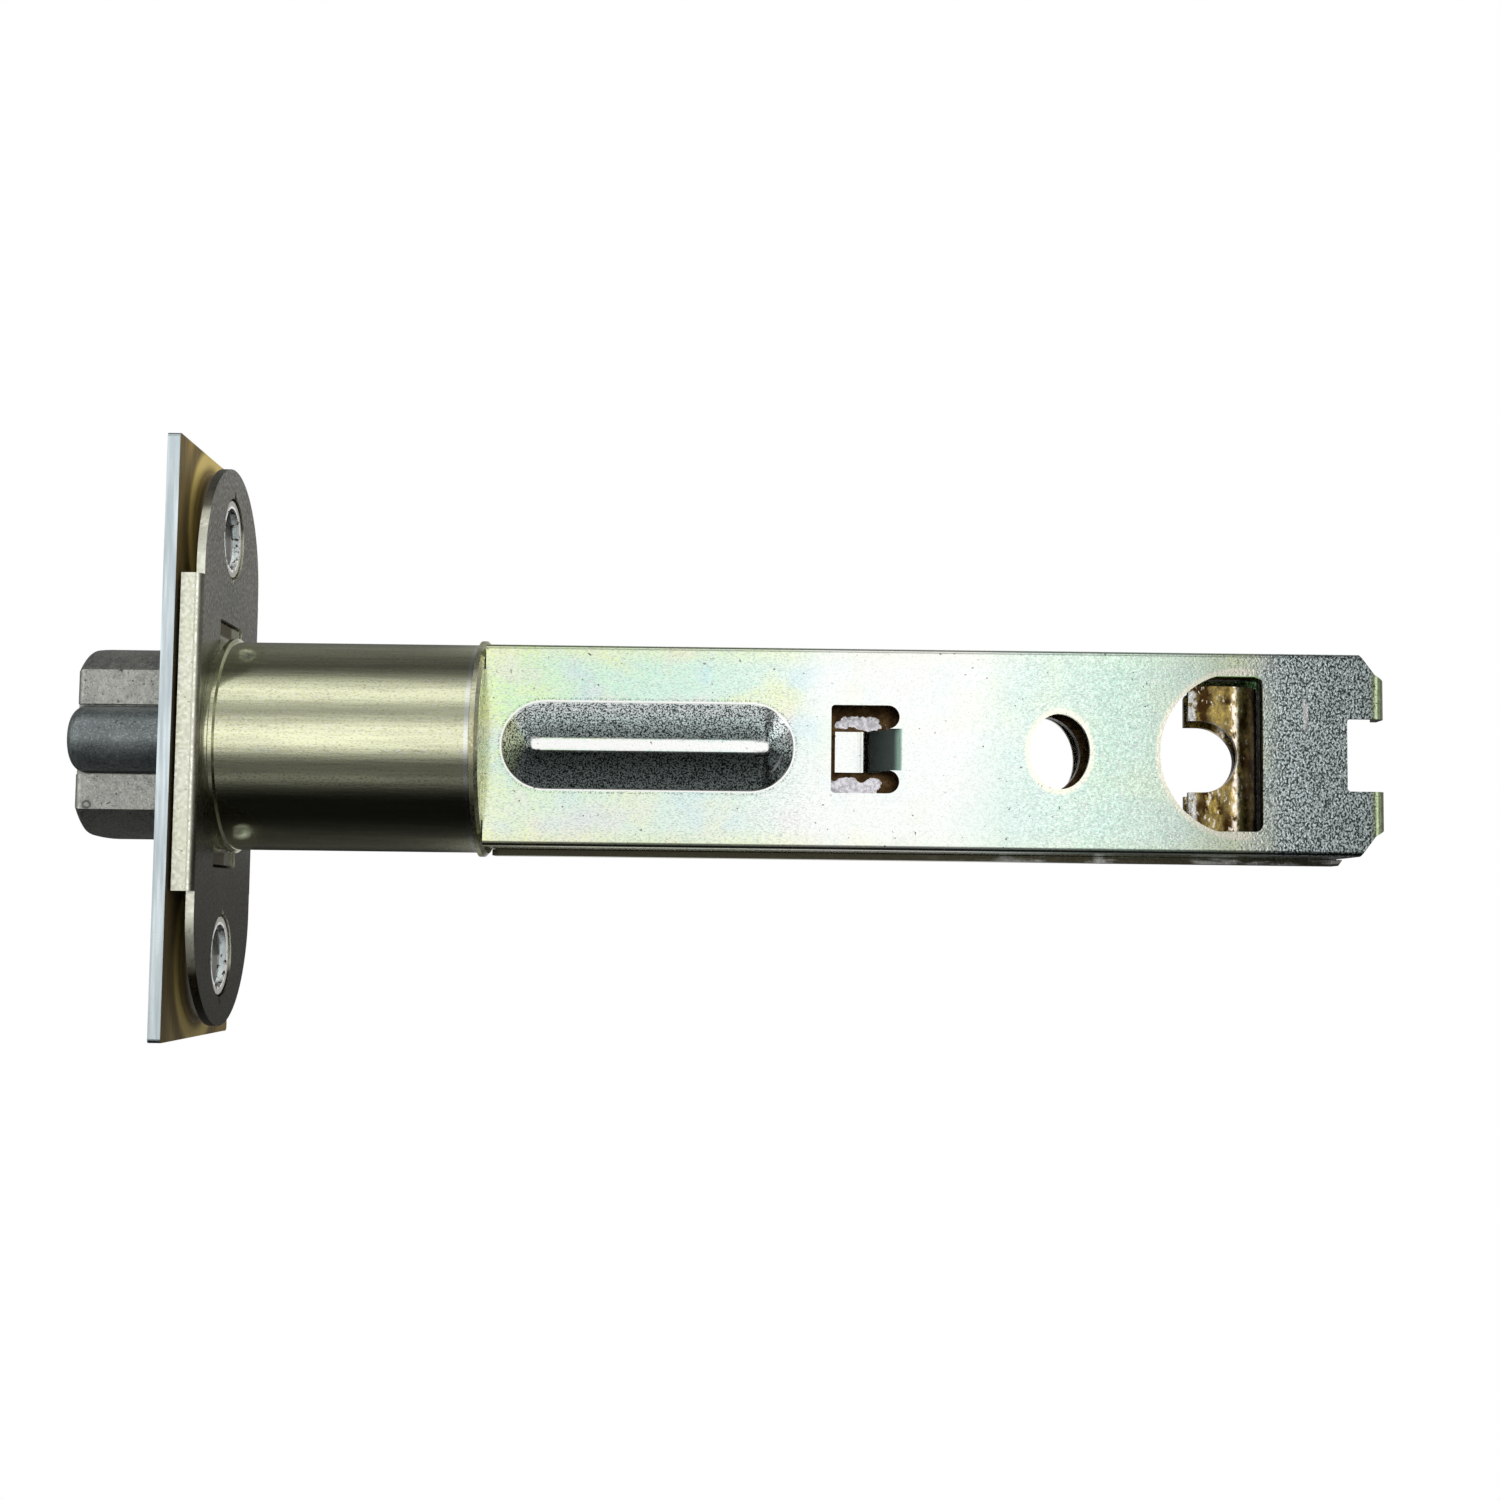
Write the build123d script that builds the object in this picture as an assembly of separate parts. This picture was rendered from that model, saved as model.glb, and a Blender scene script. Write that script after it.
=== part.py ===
from build123d import *
import os

# Tubular deadlatch with a long two-part case, in millimetres.
# X runs along the latch: the bolt points to -X, the case's tail to +X. Z is up.
# The origin lies on the tube's axis, in the faceplate's front face.
# The near side of the latch, where the plunger lies, is -Y.

# Clearances, the least depth that counts as touching, and how far a cut runs past the face that it opens
slide_gap = 0.3
fit_gap = 0.05
running_gap = 0.03
bar_side_gap = 0.2
case_end_gap = 0.1
touch = 0.01
over = 1.0

# Faceplate
plate_height = 57.15
plate_width = 25.4
plate_sheet = 1.2
plate_edge_r = 0.4
screw_pitch = 41.3
screw_bore_r = 3.05
countersink_r = 5.6
collar_foot_r = 6.6
collar_neck_r = 3.95
collar_tip_r = 3.8
collar_neck_rise = 1.4
collar_rise = 2.1

# Mounting plate
backing_end_margin = 6.85
backing_width = 22.0
backing_sheet = 0.8
backing_standoff = 1.5
notch_reach = 4.9
notch_half_width = 2.6
flange_length = 29.9
flange_centre_z = 0.45
flange_outer_y = 11.9
flange_gap = 0.3
flange_bend_r = 0.9

# Latch tube and end cap
tube_r = 10.25
tube_sheet = 0.6
tube_length = 26.0
bead_start = 0.8
bead_width = 0.7
bead_rise = 0.35
ear_half_width = 4.1
ear_reach = 11.8
cap_sheet = 0.8
cap_overhang = 0.4
cap_bevel = 0.35

# Case
case_length = 84.6
case_depth = 11.6
case_height = 19.5
case_sheet = 0.6
case_fold_r = 0.5
case_inner_fold_r = 0.15
far_flange_depth = 3.3
tail_chamfer_length = 1.45
tail_chamfer_drop = 1.95
tail_notch_depth = 1.6
tail_notch_half = 3.5
tail_notch_corner_r = 0.35
far_notch_half = 4.6
ear_rise = 2.1
ear_half_span = 7.2
ear_bend_r = 1.1
ear_depth = 3.3
tongue_half = 7.3
tongue_reach = 4.9

# Pressings of the case, from its front end
bulge_start = 1.6
bulge_length = 28.2
bulge_height = 8.5
bulge_rise = 1.35
bulge_crest_width = 1.1
bulge_front_slope = 3.0
bulge_rear_slope = 2.4
window_start = 33.38
window_length = 6.57
window_height = 8.5
window_corner_r = 0.35
tab_height = 4.0
tab_flat_length = 2.9
tab_slope_length = 3.1
tab_bend_r = 1.5
bolt_hole_x = 55.37
bolt_hole_length = 5.84
bolt_hole_height = 7.28
far_bolt_hole_length = 6.9
far_bolt_hole_height = 8.6
cam_hole_x = 72.88
cam_hole_r = 7.87
cam_hole_flat = 2.02
cam_hole_half = 7.5
cam_hole_corner_r = 0.8

# Latch bolt
bolt_gap = 0.3
bolt_throw = 9.6
bolt_length = 23.6
bolt_flat_y = 6.5
bolt_tip_land = 3.4
bolt_slope_foot = 0.3
bolt_edge_r = 0.8
bolt_step_z = 4.8
bolt_step_length = 9.0
bolt_slot_depth = 7.0
bolt_pin_r = 1.2
bolt_pin_set = 3.0
bolt_pin_recess = 0.1
bolt_pin_set_in = 0.6

# Deadlocking plunger
plunger_r = 3.25
plunger_axis_y = 5.85
plunger_back_y = 5.75
plunger_reach = 9.95
plunger_length = 21.95
plunger_nose_r = 1.4
groove_gap = 0.15
rod_r = 1.0
rod_axis_y = 7.6
rod_length = 10.0
rod_set = 4.0

# Link bar
bar_sheet = 1.5
bar_neck_half = 4.4
bar_half = 8.9
bar_bolt_slot_half = 3.9
bar_bolt_slot_left = 13.4
bar_bolt_slot_right = 2.7
bar_web = 2.0
bar_arm = 1.2
bar_cross = 1.3

# Retractor slide
strap_sheet = 0.8
strap_half_depth = 3.9
strap_cheek = 3.5
strap_low = 7.4
strap_high = 6.7
strap_left = 68.1
cam_bite_r = 3.475
cam_bite_left = 1.3
cam_bite_z = -0.175
far_cheek_set = 0.95
strap_corner_r = 0.6

# Springs, their round wire drawn with a few flats
wire_sides = 6
main_spring_r = 6.0
main_spring_wire = 1.1
main_spring_turns = 9
main_spring_inset = 2.55
stem_spring_r = 1.7
stem_spring_wire = 0.4
stem_spring_turns = 10
pawl_spring_wire = 0.4
pawl_spring_turns = 3

# Deadlocking pawl
pawl_pivot_set = 2.2
pawl_pivot_z = 6.1
pawl_pin_r = 0.7
pawl_hub_r = 1.3
pawl_reach = 11.5
pawl_half_width = 2.5
pawl_sheet = 1.4
pawl_nose_z = 6.5
pawl_lip = 1.0

# Places that follow from the sizes
plate_back = plate_sheet
backing_length = screw_pitch + 2 * backing_end_margin
backing_front = plate_back + backing_standoff
backing_rear = backing_front + backing_sheet
tube_front = backing_front
tube_end = tube_front + tube_length
cap_front = tube_end
cap_rear = cap_front + cap_sheet
case_front = cap_rear + case_end_gap
case_end = case_front + case_length
near_y = case_depth / 2
case_inner_y = near_y - case_sheet
case_half = case_height / 2
tube_bore_r = tube_r - tube_sheet
bolt_r = tube_bore_r - bolt_gap
bolt_tip = -bolt_throw
bolt_rear = bolt_tip + bolt_length
plunger_tip = -plunger_reach
plunger_rear = plunger_tip + plunger_length
groove_floor_y = plunger_back_y - groove_gap
groove_half = plunger_r + groove_gap
bar_half_sheet = bar_sheet / 2
bar_front = bolt_rear - bolt_slot_depth + slide_gap
bar_step = cap_rear + slide_gap
bolt_pin_x = bolt_rear - bolt_pin_set
through_bolt_x = case_front + bolt_hole_x
cam_x = case_front + cam_hole_x
tongue_front = case_front - tongue_reach
pawl_pivot_x = tongue_front + pawl_pivot_set
strap_front = case_front + strap_left
strap_bend_x = strap_front + strap_cheek
strap_nose_x = strap_bend_x + strap_half_depth
bulge_mid_x = case_front + bulge_start + bulge_length / 2
spring_half_length = bulge_length / 2 - main_spring_inset


def block(x0, x1, y0, y1, z0, z1):
    """Box between two corners."""
    middle = Pos((x0 + x1) / 2, (y0 + y1) / 2, (z0 + z1) / 2)
    return middle * Box(x1 - x0, y1 - y0, z1 - z0)


def rod_along_x(x0, x1, radius, y=0, z=0):
    """Round bar along the latch."""
    return Pos((x0 + x1) / 2, y, z) * Rot(0, 90, 0) * Cylinder(radius, x1 - x0)


def rod_along_y(y0, y1, radius, x, z):
    """Round bar across the latch."""
    return Pos(x, (y0 + y1) / 2, z) * Rot(90, 0, 0) * Cylinder(radius, y1 - y0)


def side_cut(sketch, y0, y1):
    """Solid of an outline seen from the side, between two depths."""
    return extrude(Plane.XZ.offset(-y1) * sketch, amount=y1 - y0)


def plan_cut(sketch, z0, z1):
    """Solid of an outline seen from above, between two heights."""
    return extrude(Plane.XY.offset(z0) * sketch, amount=z1 - z0)


def front_cut(sketch, x0, x1):
    """Solid of an outline seen from the front, between two places along the latch."""
    return extrude(Plane.YZ.offset(x0) * sketch, amount=x1 - x0)


def area(*points):
    """Closed outline with straight sides."""
    return make_face(Polyline(*points, close=True))


def span(x0, x1, z0, z1):
    """Rectangle between two corners of an outline."""
    return Pos((x0 + x1) / 2, (z0 + z1) / 2) * Rectangle(x1 - x0, z1 - z0)


def turned(*points):
    """Solid turned about the latch's axis from places along it and radii."""
    return revolve(make_face(Plane.XY * Polyline(*points, close=True)), Axis.X)


def edges_at(shape, direction, axis, place):
    """Edges of one direction that lie at a place along an axis."""
    return shape.edges().filter_by(direction).filter_by_position(axis, place - touch, place + touch)


def mirrored(shape):
    """The same shape on the other side of the middle plane."""
    return mirror(shape, about=Plane.XZ)


def coil(turns, length, outer_r, wire):
    """Round-wire coil along Z, from its lower end."""
    mean_r = outer_r - wire / 2
    path = Helix(pitch=length / turns, height=length, radius=mean_r)
    section = Plane(origin=path @ 0, z_dir=path % 0) * RegularPolygon(wire / 2, wire_sides)
    return sweep(section, path=path)


def screw_places():
    """Heights of the two faceplate screws."""
    return (screw_pitch / 2, -screw_pitch / 2)


def make_faceplate():
    """Flat plate with two drawn screw collars and a hole shaped to bolt and plunger."""
    plate = block(0, plate_sheet, -plate_width / 2, plate_width / 2, -plate_height / 2, plate_height / 2)
    plate = fillet(plate.edges().filter_by(Axis.X), plate_edge_r)
    neck = plate_sheet + collar_neck_rise
    tip = plate_sheet + collar_rise
    collar = turned(
        (0, 0),
        (0, collar_foot_r),
        (plate_sheet, collar_foot_r),
        (neck, collar_neck_r),
        (tip, collar_tip_r),
        (tip, 0),
    )
    sink = turned(
        (-over, 0),
        (-over, countersink_r),
        (0, countersink_r),
        (neck, screw_bore_r),
        (tip + over, screw_bore_r),
        (tip + over, 0),
    )
    for z in screw_places():
        plate += Pos(0, 0, z) * collar
    for z in screw_places():
        plate -= Pos(0, 0, z) * sink
    opening = Circle(bolt_r + slide_gap)
    flat = bolt_flat_y + slide_gap
    opening -= span(-2 * bolt_r, -flat, -2 * bolt_r, 2 * bolt_r)
    opening += Pos(-plunger_axis_y, 0) * Circle(plunger_r + slide_gap)
    return plate - front_cut(opening, -over, plate_sheet + over)


def make_mounting_plate():
    """Backing plate with bent side flanges, screw holes with pointed notches and the tube's hole."""
    outline = SlotOverall(backing_length, backing_width, rotation=90)
    outline += Pos(0, flange_centre_z) * Rectangle(2 * flange_outer_y, flange_length)
    outline -= Circle(tube_r + fit_gap)
    outline -= Rectangle(2 * (ear_half_width + slide_gap), 2 * (ear_reach + slide_gap))
    for z in screw_places():
        outline -= Pos(0, z) * Circle(collar_neck_r + 2 * fit_gap)
        outline -= Pos(0, z) * area(
            (0, notch_reach), (notch_half_width, 0), (0, -notch_reach), (-notch_half_width, 0)
        )
    plate = front_cut(outline, backing_front, backing_rear)
    low = flange_centre_z - flange_length / 2
    high = flange_centre_z + flange_length / 2
    inner = flange_outer_y - backing_sheet
    for y0, y1 in ((-flange_outer_y, -inner), (inner, flange_outer_y)):
        plate += block(plate_back + flange_gap, backing_rear, y0, y1, low, high)
    rear_edges = edges_at(plate, Axis.Z, Axis.X, backing_rear)
    outer = [edge for edge in rear_edges if abs(abs(edge.center().Y) - flange_outer_y) < touch]
    return fillet(outer, flange_bend_r)


def make_latch_tube():
    """Thin tube with a rim bead behind the mounting plate and two ears in its notches."""
    bead_x = backing_rear + bead_start - bead_width / 2
    bead_end = bead_x + bead_width
    tube = turned(
        (tube_front, tube_bore_r),
        (tube_front, tube_r),
        (bead_x, tube_r),
        (bead_x + bead_width / 4, tube_r + bead_rise),
        (bead_end - bead_width / 4, tube_r + bead_rise),
        (bead_end, tube_r),
        (tube_end, tube_r),
        (tube_end, tube_bore_r),
    )
    ears = Rectangle(2 * ear_half_width, 2 * ear_reach) - Circle(tube_r - tube_sheet / 2)
    return tube + front_cut(ears, tube_front, tube_front + tube_sheet)


def tongue_slot():
    """Slots of the end cap for the tongues of the two case halves."""
    middle = near_y - case_sheet / 2
    slot = Rectangle(case_sheet + 2 * fit_gap, 2 * (tongue_half + fit_gap))
    return Pos(-middle, 0) * slot + Pos(middle, 0) * slot


def make_tube_end_cap():
    """Round wall crimped on the tube's rear, slotted for the case tongues and the link bar."""
    disc = rod_along_x(cap_front, cap_rear, tube_r + cap_overhang)
    disc = chamfer(disc.edges().group_by(Axis.X)[-1], cap_bevel)
    holes = tongue_slot() + Rectangle(bar_sheet + 2 * slide_gap, 2 * (bar_neck_half + slide_gap))
    return disc - front_cut(holes, cap_front - over, cap_rear + over)


def bulge_block(depth, rise):
    """Body between the foot and crest outlines of the spring bulge."""
    crest_length = bulge_length - bulge_front_slope - bulge_rear_slope
    crest_x = bulge_mid_x + (bulge_front_slope - bulge_rear_slope) / 2
    foot = Plane.XZ.offset(depth) * Pos(bulge_mid_x, 0) * SlotOverall(bulge_length, bulge_height)
    crest = Plane.XZ.offset(depth + rise) * Pos(crest_x, 0) * SlotOverall(crest_length, bulge_crest_width)
    return loft([foot, crest])


def cam_hole():
    """D-shaped hole outline, round towards the bolt."""
    x1 = cam_x + cam_hole_flat
    hole = Pos(cam_x, 0) * Circle(cam_hole_r)
    hole &= span(cam_x - cam_hole_r, x1, -cam_hole_half, cam_hole_half)
    corners = hole.vertices().group_by(Axis.X)[-1]
    return fillet(corners, cam_hole_corner_r)


def window():
    """Hole round the lanced tab: two slots with round rear ends, joined in front of the tab."""
    x0 = case_front + window_start
    x1 = x0 + window_length
    tab_half = tab_height / 2
    end_r = (window_height / 2 - tab_half) / 2
    front = span(x0, x1 - end_r, -window_height / 2, window_height / 2)
    hole = fillet(front.vertices().group_by(Axis.X)[0], window_corner_r)
    hole += span(x1 - end_r, x1, -tab_half, tab_half)
    for side in (1, -1):
        hole += Pos(x1 - end_r, side * (tab_half + end_r)) * Circle(end_r)
    return hole


def bolt_hole(length, height):
    """Oval hole for a through bolt; the oval of each half ends at the same place towards the tail."""
    rear = through_bolt_x + bolt_hole_length / 2
    return Pos(rear - length / 2, 0) * Ellipse(length / 2, height / 2)


def tab_path():
    """Outer line of the lanced tab, from the web inwards to the link bar."""
    root = case_front + window_start + window_length
    foot = bar_half_sheet + slide_gap + case_sheet
    return [
        (root + tab_bend_r, -near_y),
        (root - fit_gap, -near_y),
        (root - fit_gap - tab_slope_length, -foot),
        (root - fit_gap - tab_slope_length - tab_flat_length, -foot),
    ]


def bent_sheet(points, radius, sheet, side):
    """Outline of a bent sheet from the line of one of its faces."""
    line = FilletPolyline(*points, radius=radius)
    return make_face(offset(line, amount=sheet, side=side, closed=True))


def make_case_web(half, flange_to, notch_half, hole):
    """One case half on the near side: folded channel, pressings, tail ears and tongue."""
    channel = block(case_front, case_end, -near_y, flange_to, -half, half)
    channel = fillet(edges_at(channel, Axis.X, Axis.Y, -near_y), case_fold_r)
    inner_half = half - case_sheet
    ends = (case_front - over, case_end + over)
    hollow = block(*ends, -case_inner_y, flange_to + over, -inner_half, inner_half)
    hollow = fillet(edges_at(hollow, Axis.X, Axis.Y, -case_inner_y), case_inner_fold_r)
    shell = channel - hollow
    shell += block(tongue_front, case_front + over, -near_y, -case_inner_y, -tongue_half, tongue_half)

    ear_tip = case_end + ear_rise
    ear_line = [(case_end - over, -near_y), (ear_tip, -near_y), (ear_tip, -near_y + ear_depth)]
    ear = bent_sheet(ear_line, ear_bend_r, case_sheet, Side.LEFT)
    shell += plan_cut(ear, -half + case_fold_r, half - case_fold_r)
    chamfer_start = case_end - tail_chamfer_length * case_fold_r / tail_chamfer_drop
    corner = area(
        (chamfer_start, half + over),
        (chamfer_start, half),
        (chamfer_start + tail_chamfer_length, half - tail_chamfer_drop),
        (ear_tip, ear_half_span),
        (ear_tip + over, ear_half_span),
        (ear_tip + over, half + over),
    )
    notch = span(case_end - tail_notch_depth, ear_tip + over, -notch_half, notch_half)
    notch = fillet(notch.vertices().group_by(Axis.X)[0], tail_notch_corner_r)
    trims = side_cut(corner, -near_y - over, flange_to + over)
    trims += mirror(trims, about=Plane.XY)
    shell -= trims
    shell -= side_cut(notch, -near_y - over, flange_to + over)

    shell += bulge_block(near_y - touch, bulge_rise)
    shell -= bulge_block(case_inner_y - touch, bulge_rise)

    shell -= side_cut(window() + hole + cam_hole(), -near_y - over, -case_inner_y + over)
    tab = bent_sheet(tab_path(), tab_bend_r, case_sheet, Side.RIGHT)
    return shell + plan_cut(tab, -tab_height / 2, tab_height / 2)


def pawl_pin_hole():
    """Bore for the pawl's pin through both tongues."""
    return rod_along_y(-near_y - over, near_y + over, pawl_pin_r + running_gap, pawl_pivot_x, pawl_pivot_z)


def make_case_near_half():
    """Inner channel: its flanges reach across nearly the whole depth."""
    hole = bolt_hole(bolt_hole_length, bolt_hole_height)
    return make_case_web(case_half, case_inner_y - slide_gap, tail_notch_half, hole) - pawl_pin_hole()


def make_case_far_half():
    """Outer channel: short flanges that lie outside those of the near half."""
    half = case_half + fit_gap + case_sheet
    hole = bolt_hole(far_bolt_hole_length, far_bolt_hole_height)
    return mirrored(make_case_web(half, -near_y + far_flange_depth, far_notch_half, hole)) - pawl_pin_hole()


def make_latch_bolt():
    """Cast bolt: round with a flat, a groove for the plunger and a slope on the far side."""
    body = rod_along_x(bolt_tip, bolt_rear, bolt_r)
    front = bolt_tip - over
    back = bolt_rear + over
    body -= block(front, back, -2 * bolt_r, -bolt_flat_y, -bolt_r, bolt_r)
    slope = area(
        (bolt_tip, -bolt_tip_land),
        (-bolt_slope_foot, bolt_r),
        (-bolt_slope_foot, 2 * bolt_r),
        (front, 2 * bolt_r),
        (front, -bolt_tip_land),
    )
    body -= plan_cut(slope, -2 * bolt_r, 2 * bolt_r)
    body = fillet(body.faces().sort_by(Axis.X)[0].edges(), bolt_edge_r)
    body -= block(front, back, -2 * bolt_r, -groove_floor_y, -groove_half, groove_half)
    body -= block(bolt_rear - bolt_step_length, back, -bolt_r, bolt_r, bolt_step_z, 2 * bolt_r)
    slot_half = bar_half_sheet + bar_side_gap
    body -= block(bolt_rear - bolt_slot_depth, back, -slot_half, slot_half, -2 * bolt_r, 2 * bolt_r)
    return body - rod_along_y(-2 * bolt_r, 2 * bolt_r, bolt_pin_r + running_gap, bolt_pin_x, 0)


def make_bolt_pin():
    """Cross pin that carries the link bar in the bolt's rear slot."""
    near_end = -groove_floor_y + bolt_pin_recess
    return rod_along_y(near_end, bolt_r - bolt_pin_set_in, bolt_pin_r, bolt_pin_x, 0)


def make_link_bar():
    """Flat bar from the bolt to the slide, open round the spring, the through bolt and the cam."""
    end_x = strap_nose_x + slide_gap + bar_cross
    outline = span(bar_front, bar_step + over, -bar_neck_half, bar_neck_half)
    outline += span(bar_step, end_x, -bar_half, bar_half)
    outline -= Pos(bolt_pin_x, 0) * Circle(bolt_pin_r + running_gap)
    spring_reach = spring_half_length + slide_gap
    spring_room = main_spring_r + slide_gap
    outline -= span(bulge_mid_x - spring_reach, bulge_mid_x + spring_reach, -spring_room, spring_room)
    slot_left = through_bolt_x - bar_bolt_slot_left
    slot_right = through_bolt_x + bar_bolt_slot_right
    slot = SlotOverall(slot_right - slot_left, 2 * bar_bolt_slot_half)
    outline -= Pos((slot_left + slot_right) / 2, 0) * slot
    inner_half = bar_half - bar_arm
    outline -= span(slot_right + bar_web, end_x - bar_cross, -inner_half, inner_half)
    return side_cut(outline, -bar_half_sheet, bar_half_sheet)


def strap_outline(half_depth):
    """Plan of the slide's strap or of the space inside it."""
    straight = span(strap_front, strap_bend_x, -half_depth, half_depth)
    return straight + Pos(strap_bend_x, 0) * Circle(half_depth)


def cheek_blank(set_back):
    """Side outline of one cheek: rounded corners and a round bite for the cam."""
    front = strap_front + set_back
    bite_x = front + cam_bite_left
    middle = Pos(strap_nose_x, (strap_high - strap_low) / 2)
    blank = middle * RectangleRounded(2 * (strap_nose_x - front), strap_low + strap_high, strap_corner_r)
    blank -= Pos(bite_x, cam_bite_z) * Circle(cam_bite_r)
    return blank - span(front - over, bite_x, cam_bite_z - cam_bite_r, cam_bite_z + cam_bite_r)


def make_retractor_slide():
    """Strap bent to a U, with a round bite for the cam in both cheeks; the far cheek is set back."""
    outline = strap_outline(strap_half_depth) - strap_outline(strap_half_depth - strap_sheet)
    strap = plan_cut(outline, -strap_low, strap_high)
    cheeks = side_cut(cheek_blank(0), -near_y, 0) + side_cut(cheek_blank(far_cheek_set), 0, near_y)
    return strap & cheeks


def make_plunger():
    """Half-round nose with a flat back, bored for its rod."""
    stock = rod_along_x(plunger_tip, plunger_rear, plunger_r, y=-plunger_axis_y)
    stock = fillet(stock.edges().group_by(Axis.X)[0], plunger_nose_r)
    half = 2 * plunger_r
    tail = plunger_rear + over
    stock -= block(plunger_tip - over, tail, -plunger_back_y, half, -half, half)
    return stock - rod_along_x(plunger_rear - rod_set, tail, rod_r + running_gap, y=-rod_axis_y)


def make_plunger_rod():
    """Round rod set in the plunger's tail, which carries the plunger's spring."""
    start = plunger_rear - rod_set
    return rod_along_x(start, start + rod_length, rod_r, y=-rod_axis_y)


def make_bolt_spring():
    """Coil held in the two bulges of the case."""
    length = 2 * spring_half_length - main_spring_wire
    spring = coil(main_spring_turns, length, main_spring_r, main_spring_wire)
    return Pos(bulge_mid_x - length / 2, 0, 0) * Rot(0, 90, 0) * spring


def make_plunger_spring():
    """Small coil between the plunger's tail and the end cap."""
    start = plunger_rear + stem_spring_wire
    length = cap_front - stem_spring_wire - start
    spring = coil(stem_spring_turns, length, stem_spring_r, stem_spring_wire)
    return Pos(start, -rod_axis_y, 0) * Rot(0, 90, 0) * spring


def make_deadlock_pawl():
    """Lever with a hub on its pin and a lip that drops behind the bolt's step."""
    nose_x = pawl_pivot_x - pawl_reach
    top = pawl_nose_z + pawl_sheet
    lever = area(
        (nose_x, pawl_nose_z - slide_gap),
        (nose_x + pawl_lip, pawl_nose_z - slide_gap),
        (nose_x + pawl_lip, pawl_nose_z),
        (pawl_pivot_x, pawl_pivot_z - pawl_hub_r / 2),
        (pawl_pivot_x, pawl_pivot_z + pawl_hub_r),
        (nose_x, top),
    )
    plate = side_cut(lever, -pawl_half_width, pawl_half_width)
    plate += rod_along_y(-case_inner_y + slide_gap, pawl_half_width, pawl_hub_r, pawl_pivot_x, pawl_pivot_z)
    return plate - pawl_pin_hole()


def make_pawl_pin():
    """Pivot of the pawl, across the two tongues."""
    return rod_along_y(-near_y, near_y, pawl_pin_r, pawl_pivot_x, pawl_pivot_z)


def make_pawl_spring():
    """Small torsion coil on the pawl's pin."""
    start = pawl_half_width + pawl_spring_wire
    length = case_inner_y - start - pawl_spring_wire
    outer = pawl_pin_r + slide_gap + pawl_spring_wire
    spring = coil(pawl_spring_turns, length, outer, pawl_spring_wire)
    return Pos(pawl_pivot_x, start, pawl_pivot_z) * Rot(-90, 0, 0) * spring


pieces = {
    "faceplate": make_faceplate,
    "mounting_plate": make_mounting_plate,
    "latch_tube": make_latch_tube,
    "tube_end_cap": make_tube_end_cap,
    "case_near_half": make_case_near_half,
    "case_far_half": make_case_far_half,
    "latch_bolt": make_latch_bolt,
    "bolt_pin": make_bolt_pin,
    "link_bar": make_link_bar,
    "retractor_slide": make_retractor_slide,
    "plunger": make_plunger,
    "plunger_rod": make_plunger_rod,
    "bolt_spring": make_bolt_spring,
    "plunger_spring": make_plunger_spring,
    "deadlock_pawl": make_deadlock_pawl,
    "pawl_pin": make_pawl_pin,
    "pawl_spring": make_pawl_spring,
}

os.makedirs("parts", exist_ok=True)
for name, make in pieces.items():
    export_step(make(), f"parts/{name}.step")
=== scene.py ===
"""Looks of a tubular deadlatch: finishes, coil springs, studio light and camera."""

from __future__ import annotations

import logging
import math
from dataclasses import dataclass
from enum import Enum
from typing import Sequence

import bmesh
import bpy
from mathutils import Matrix, Vector

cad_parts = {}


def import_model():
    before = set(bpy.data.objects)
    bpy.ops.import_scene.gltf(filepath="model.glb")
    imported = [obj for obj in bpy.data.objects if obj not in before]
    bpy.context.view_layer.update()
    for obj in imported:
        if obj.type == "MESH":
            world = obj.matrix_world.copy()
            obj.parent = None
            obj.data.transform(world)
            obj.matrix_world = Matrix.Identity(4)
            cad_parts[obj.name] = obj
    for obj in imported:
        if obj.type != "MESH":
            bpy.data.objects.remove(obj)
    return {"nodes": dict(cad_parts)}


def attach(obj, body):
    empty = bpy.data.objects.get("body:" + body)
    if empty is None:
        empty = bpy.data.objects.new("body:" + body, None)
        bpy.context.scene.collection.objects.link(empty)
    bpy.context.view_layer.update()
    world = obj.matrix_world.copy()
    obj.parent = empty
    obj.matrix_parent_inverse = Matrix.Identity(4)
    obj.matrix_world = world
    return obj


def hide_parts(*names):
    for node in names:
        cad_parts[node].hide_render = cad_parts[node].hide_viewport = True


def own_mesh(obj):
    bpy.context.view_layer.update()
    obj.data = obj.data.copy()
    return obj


LOG = logging.getLogger("deadlatch")
MM = 0.001
Colour = tuple[float, float, float]
Place = tuple[float, float, float]
Pair = tuple[float, float]
Stops = Sequence[tuple[float, Colour]]
Socket = bpy.types.NodeSocket
MADE: dict[str, bpy.types.Material] = {}


class Grain(Enum):
    """Direction in which a surface was drawn, rolled or brushed."""

    ALONG = (0.05, 1.0, 1.0)
    UPRIGHT = (1.0, 1.0, 0.05)
    NONE = (1.0, 1.0, 1.0)


class Facing(Enum):
    """Side of the latch that a surface looks to: axis and sign."""

    BOLT = (0, -1.0)
    TAIL = (0, 1.0)
    NEAR = (1, -1.0)
    FAR = (1, 1.0)
    DOWN = (2, -1.0)


class Travel(Enum):
    """Joints that press a spring."""

    BOLT = "bolt_travel"
    PLUNGER = "plunger_travel"


@dataclass(frozen=True)
class Specks:
    """Specks or patches where a noise is high: cells a metre, limits, share, stretch, octaves, shift."""

    scale: float
    low: float
    high: float
    most: float = 1.0
    stretch: Place = (1.0, 1.0, 1.0)
    detail: float = 3.0
    shift: float = 0.0


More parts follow.
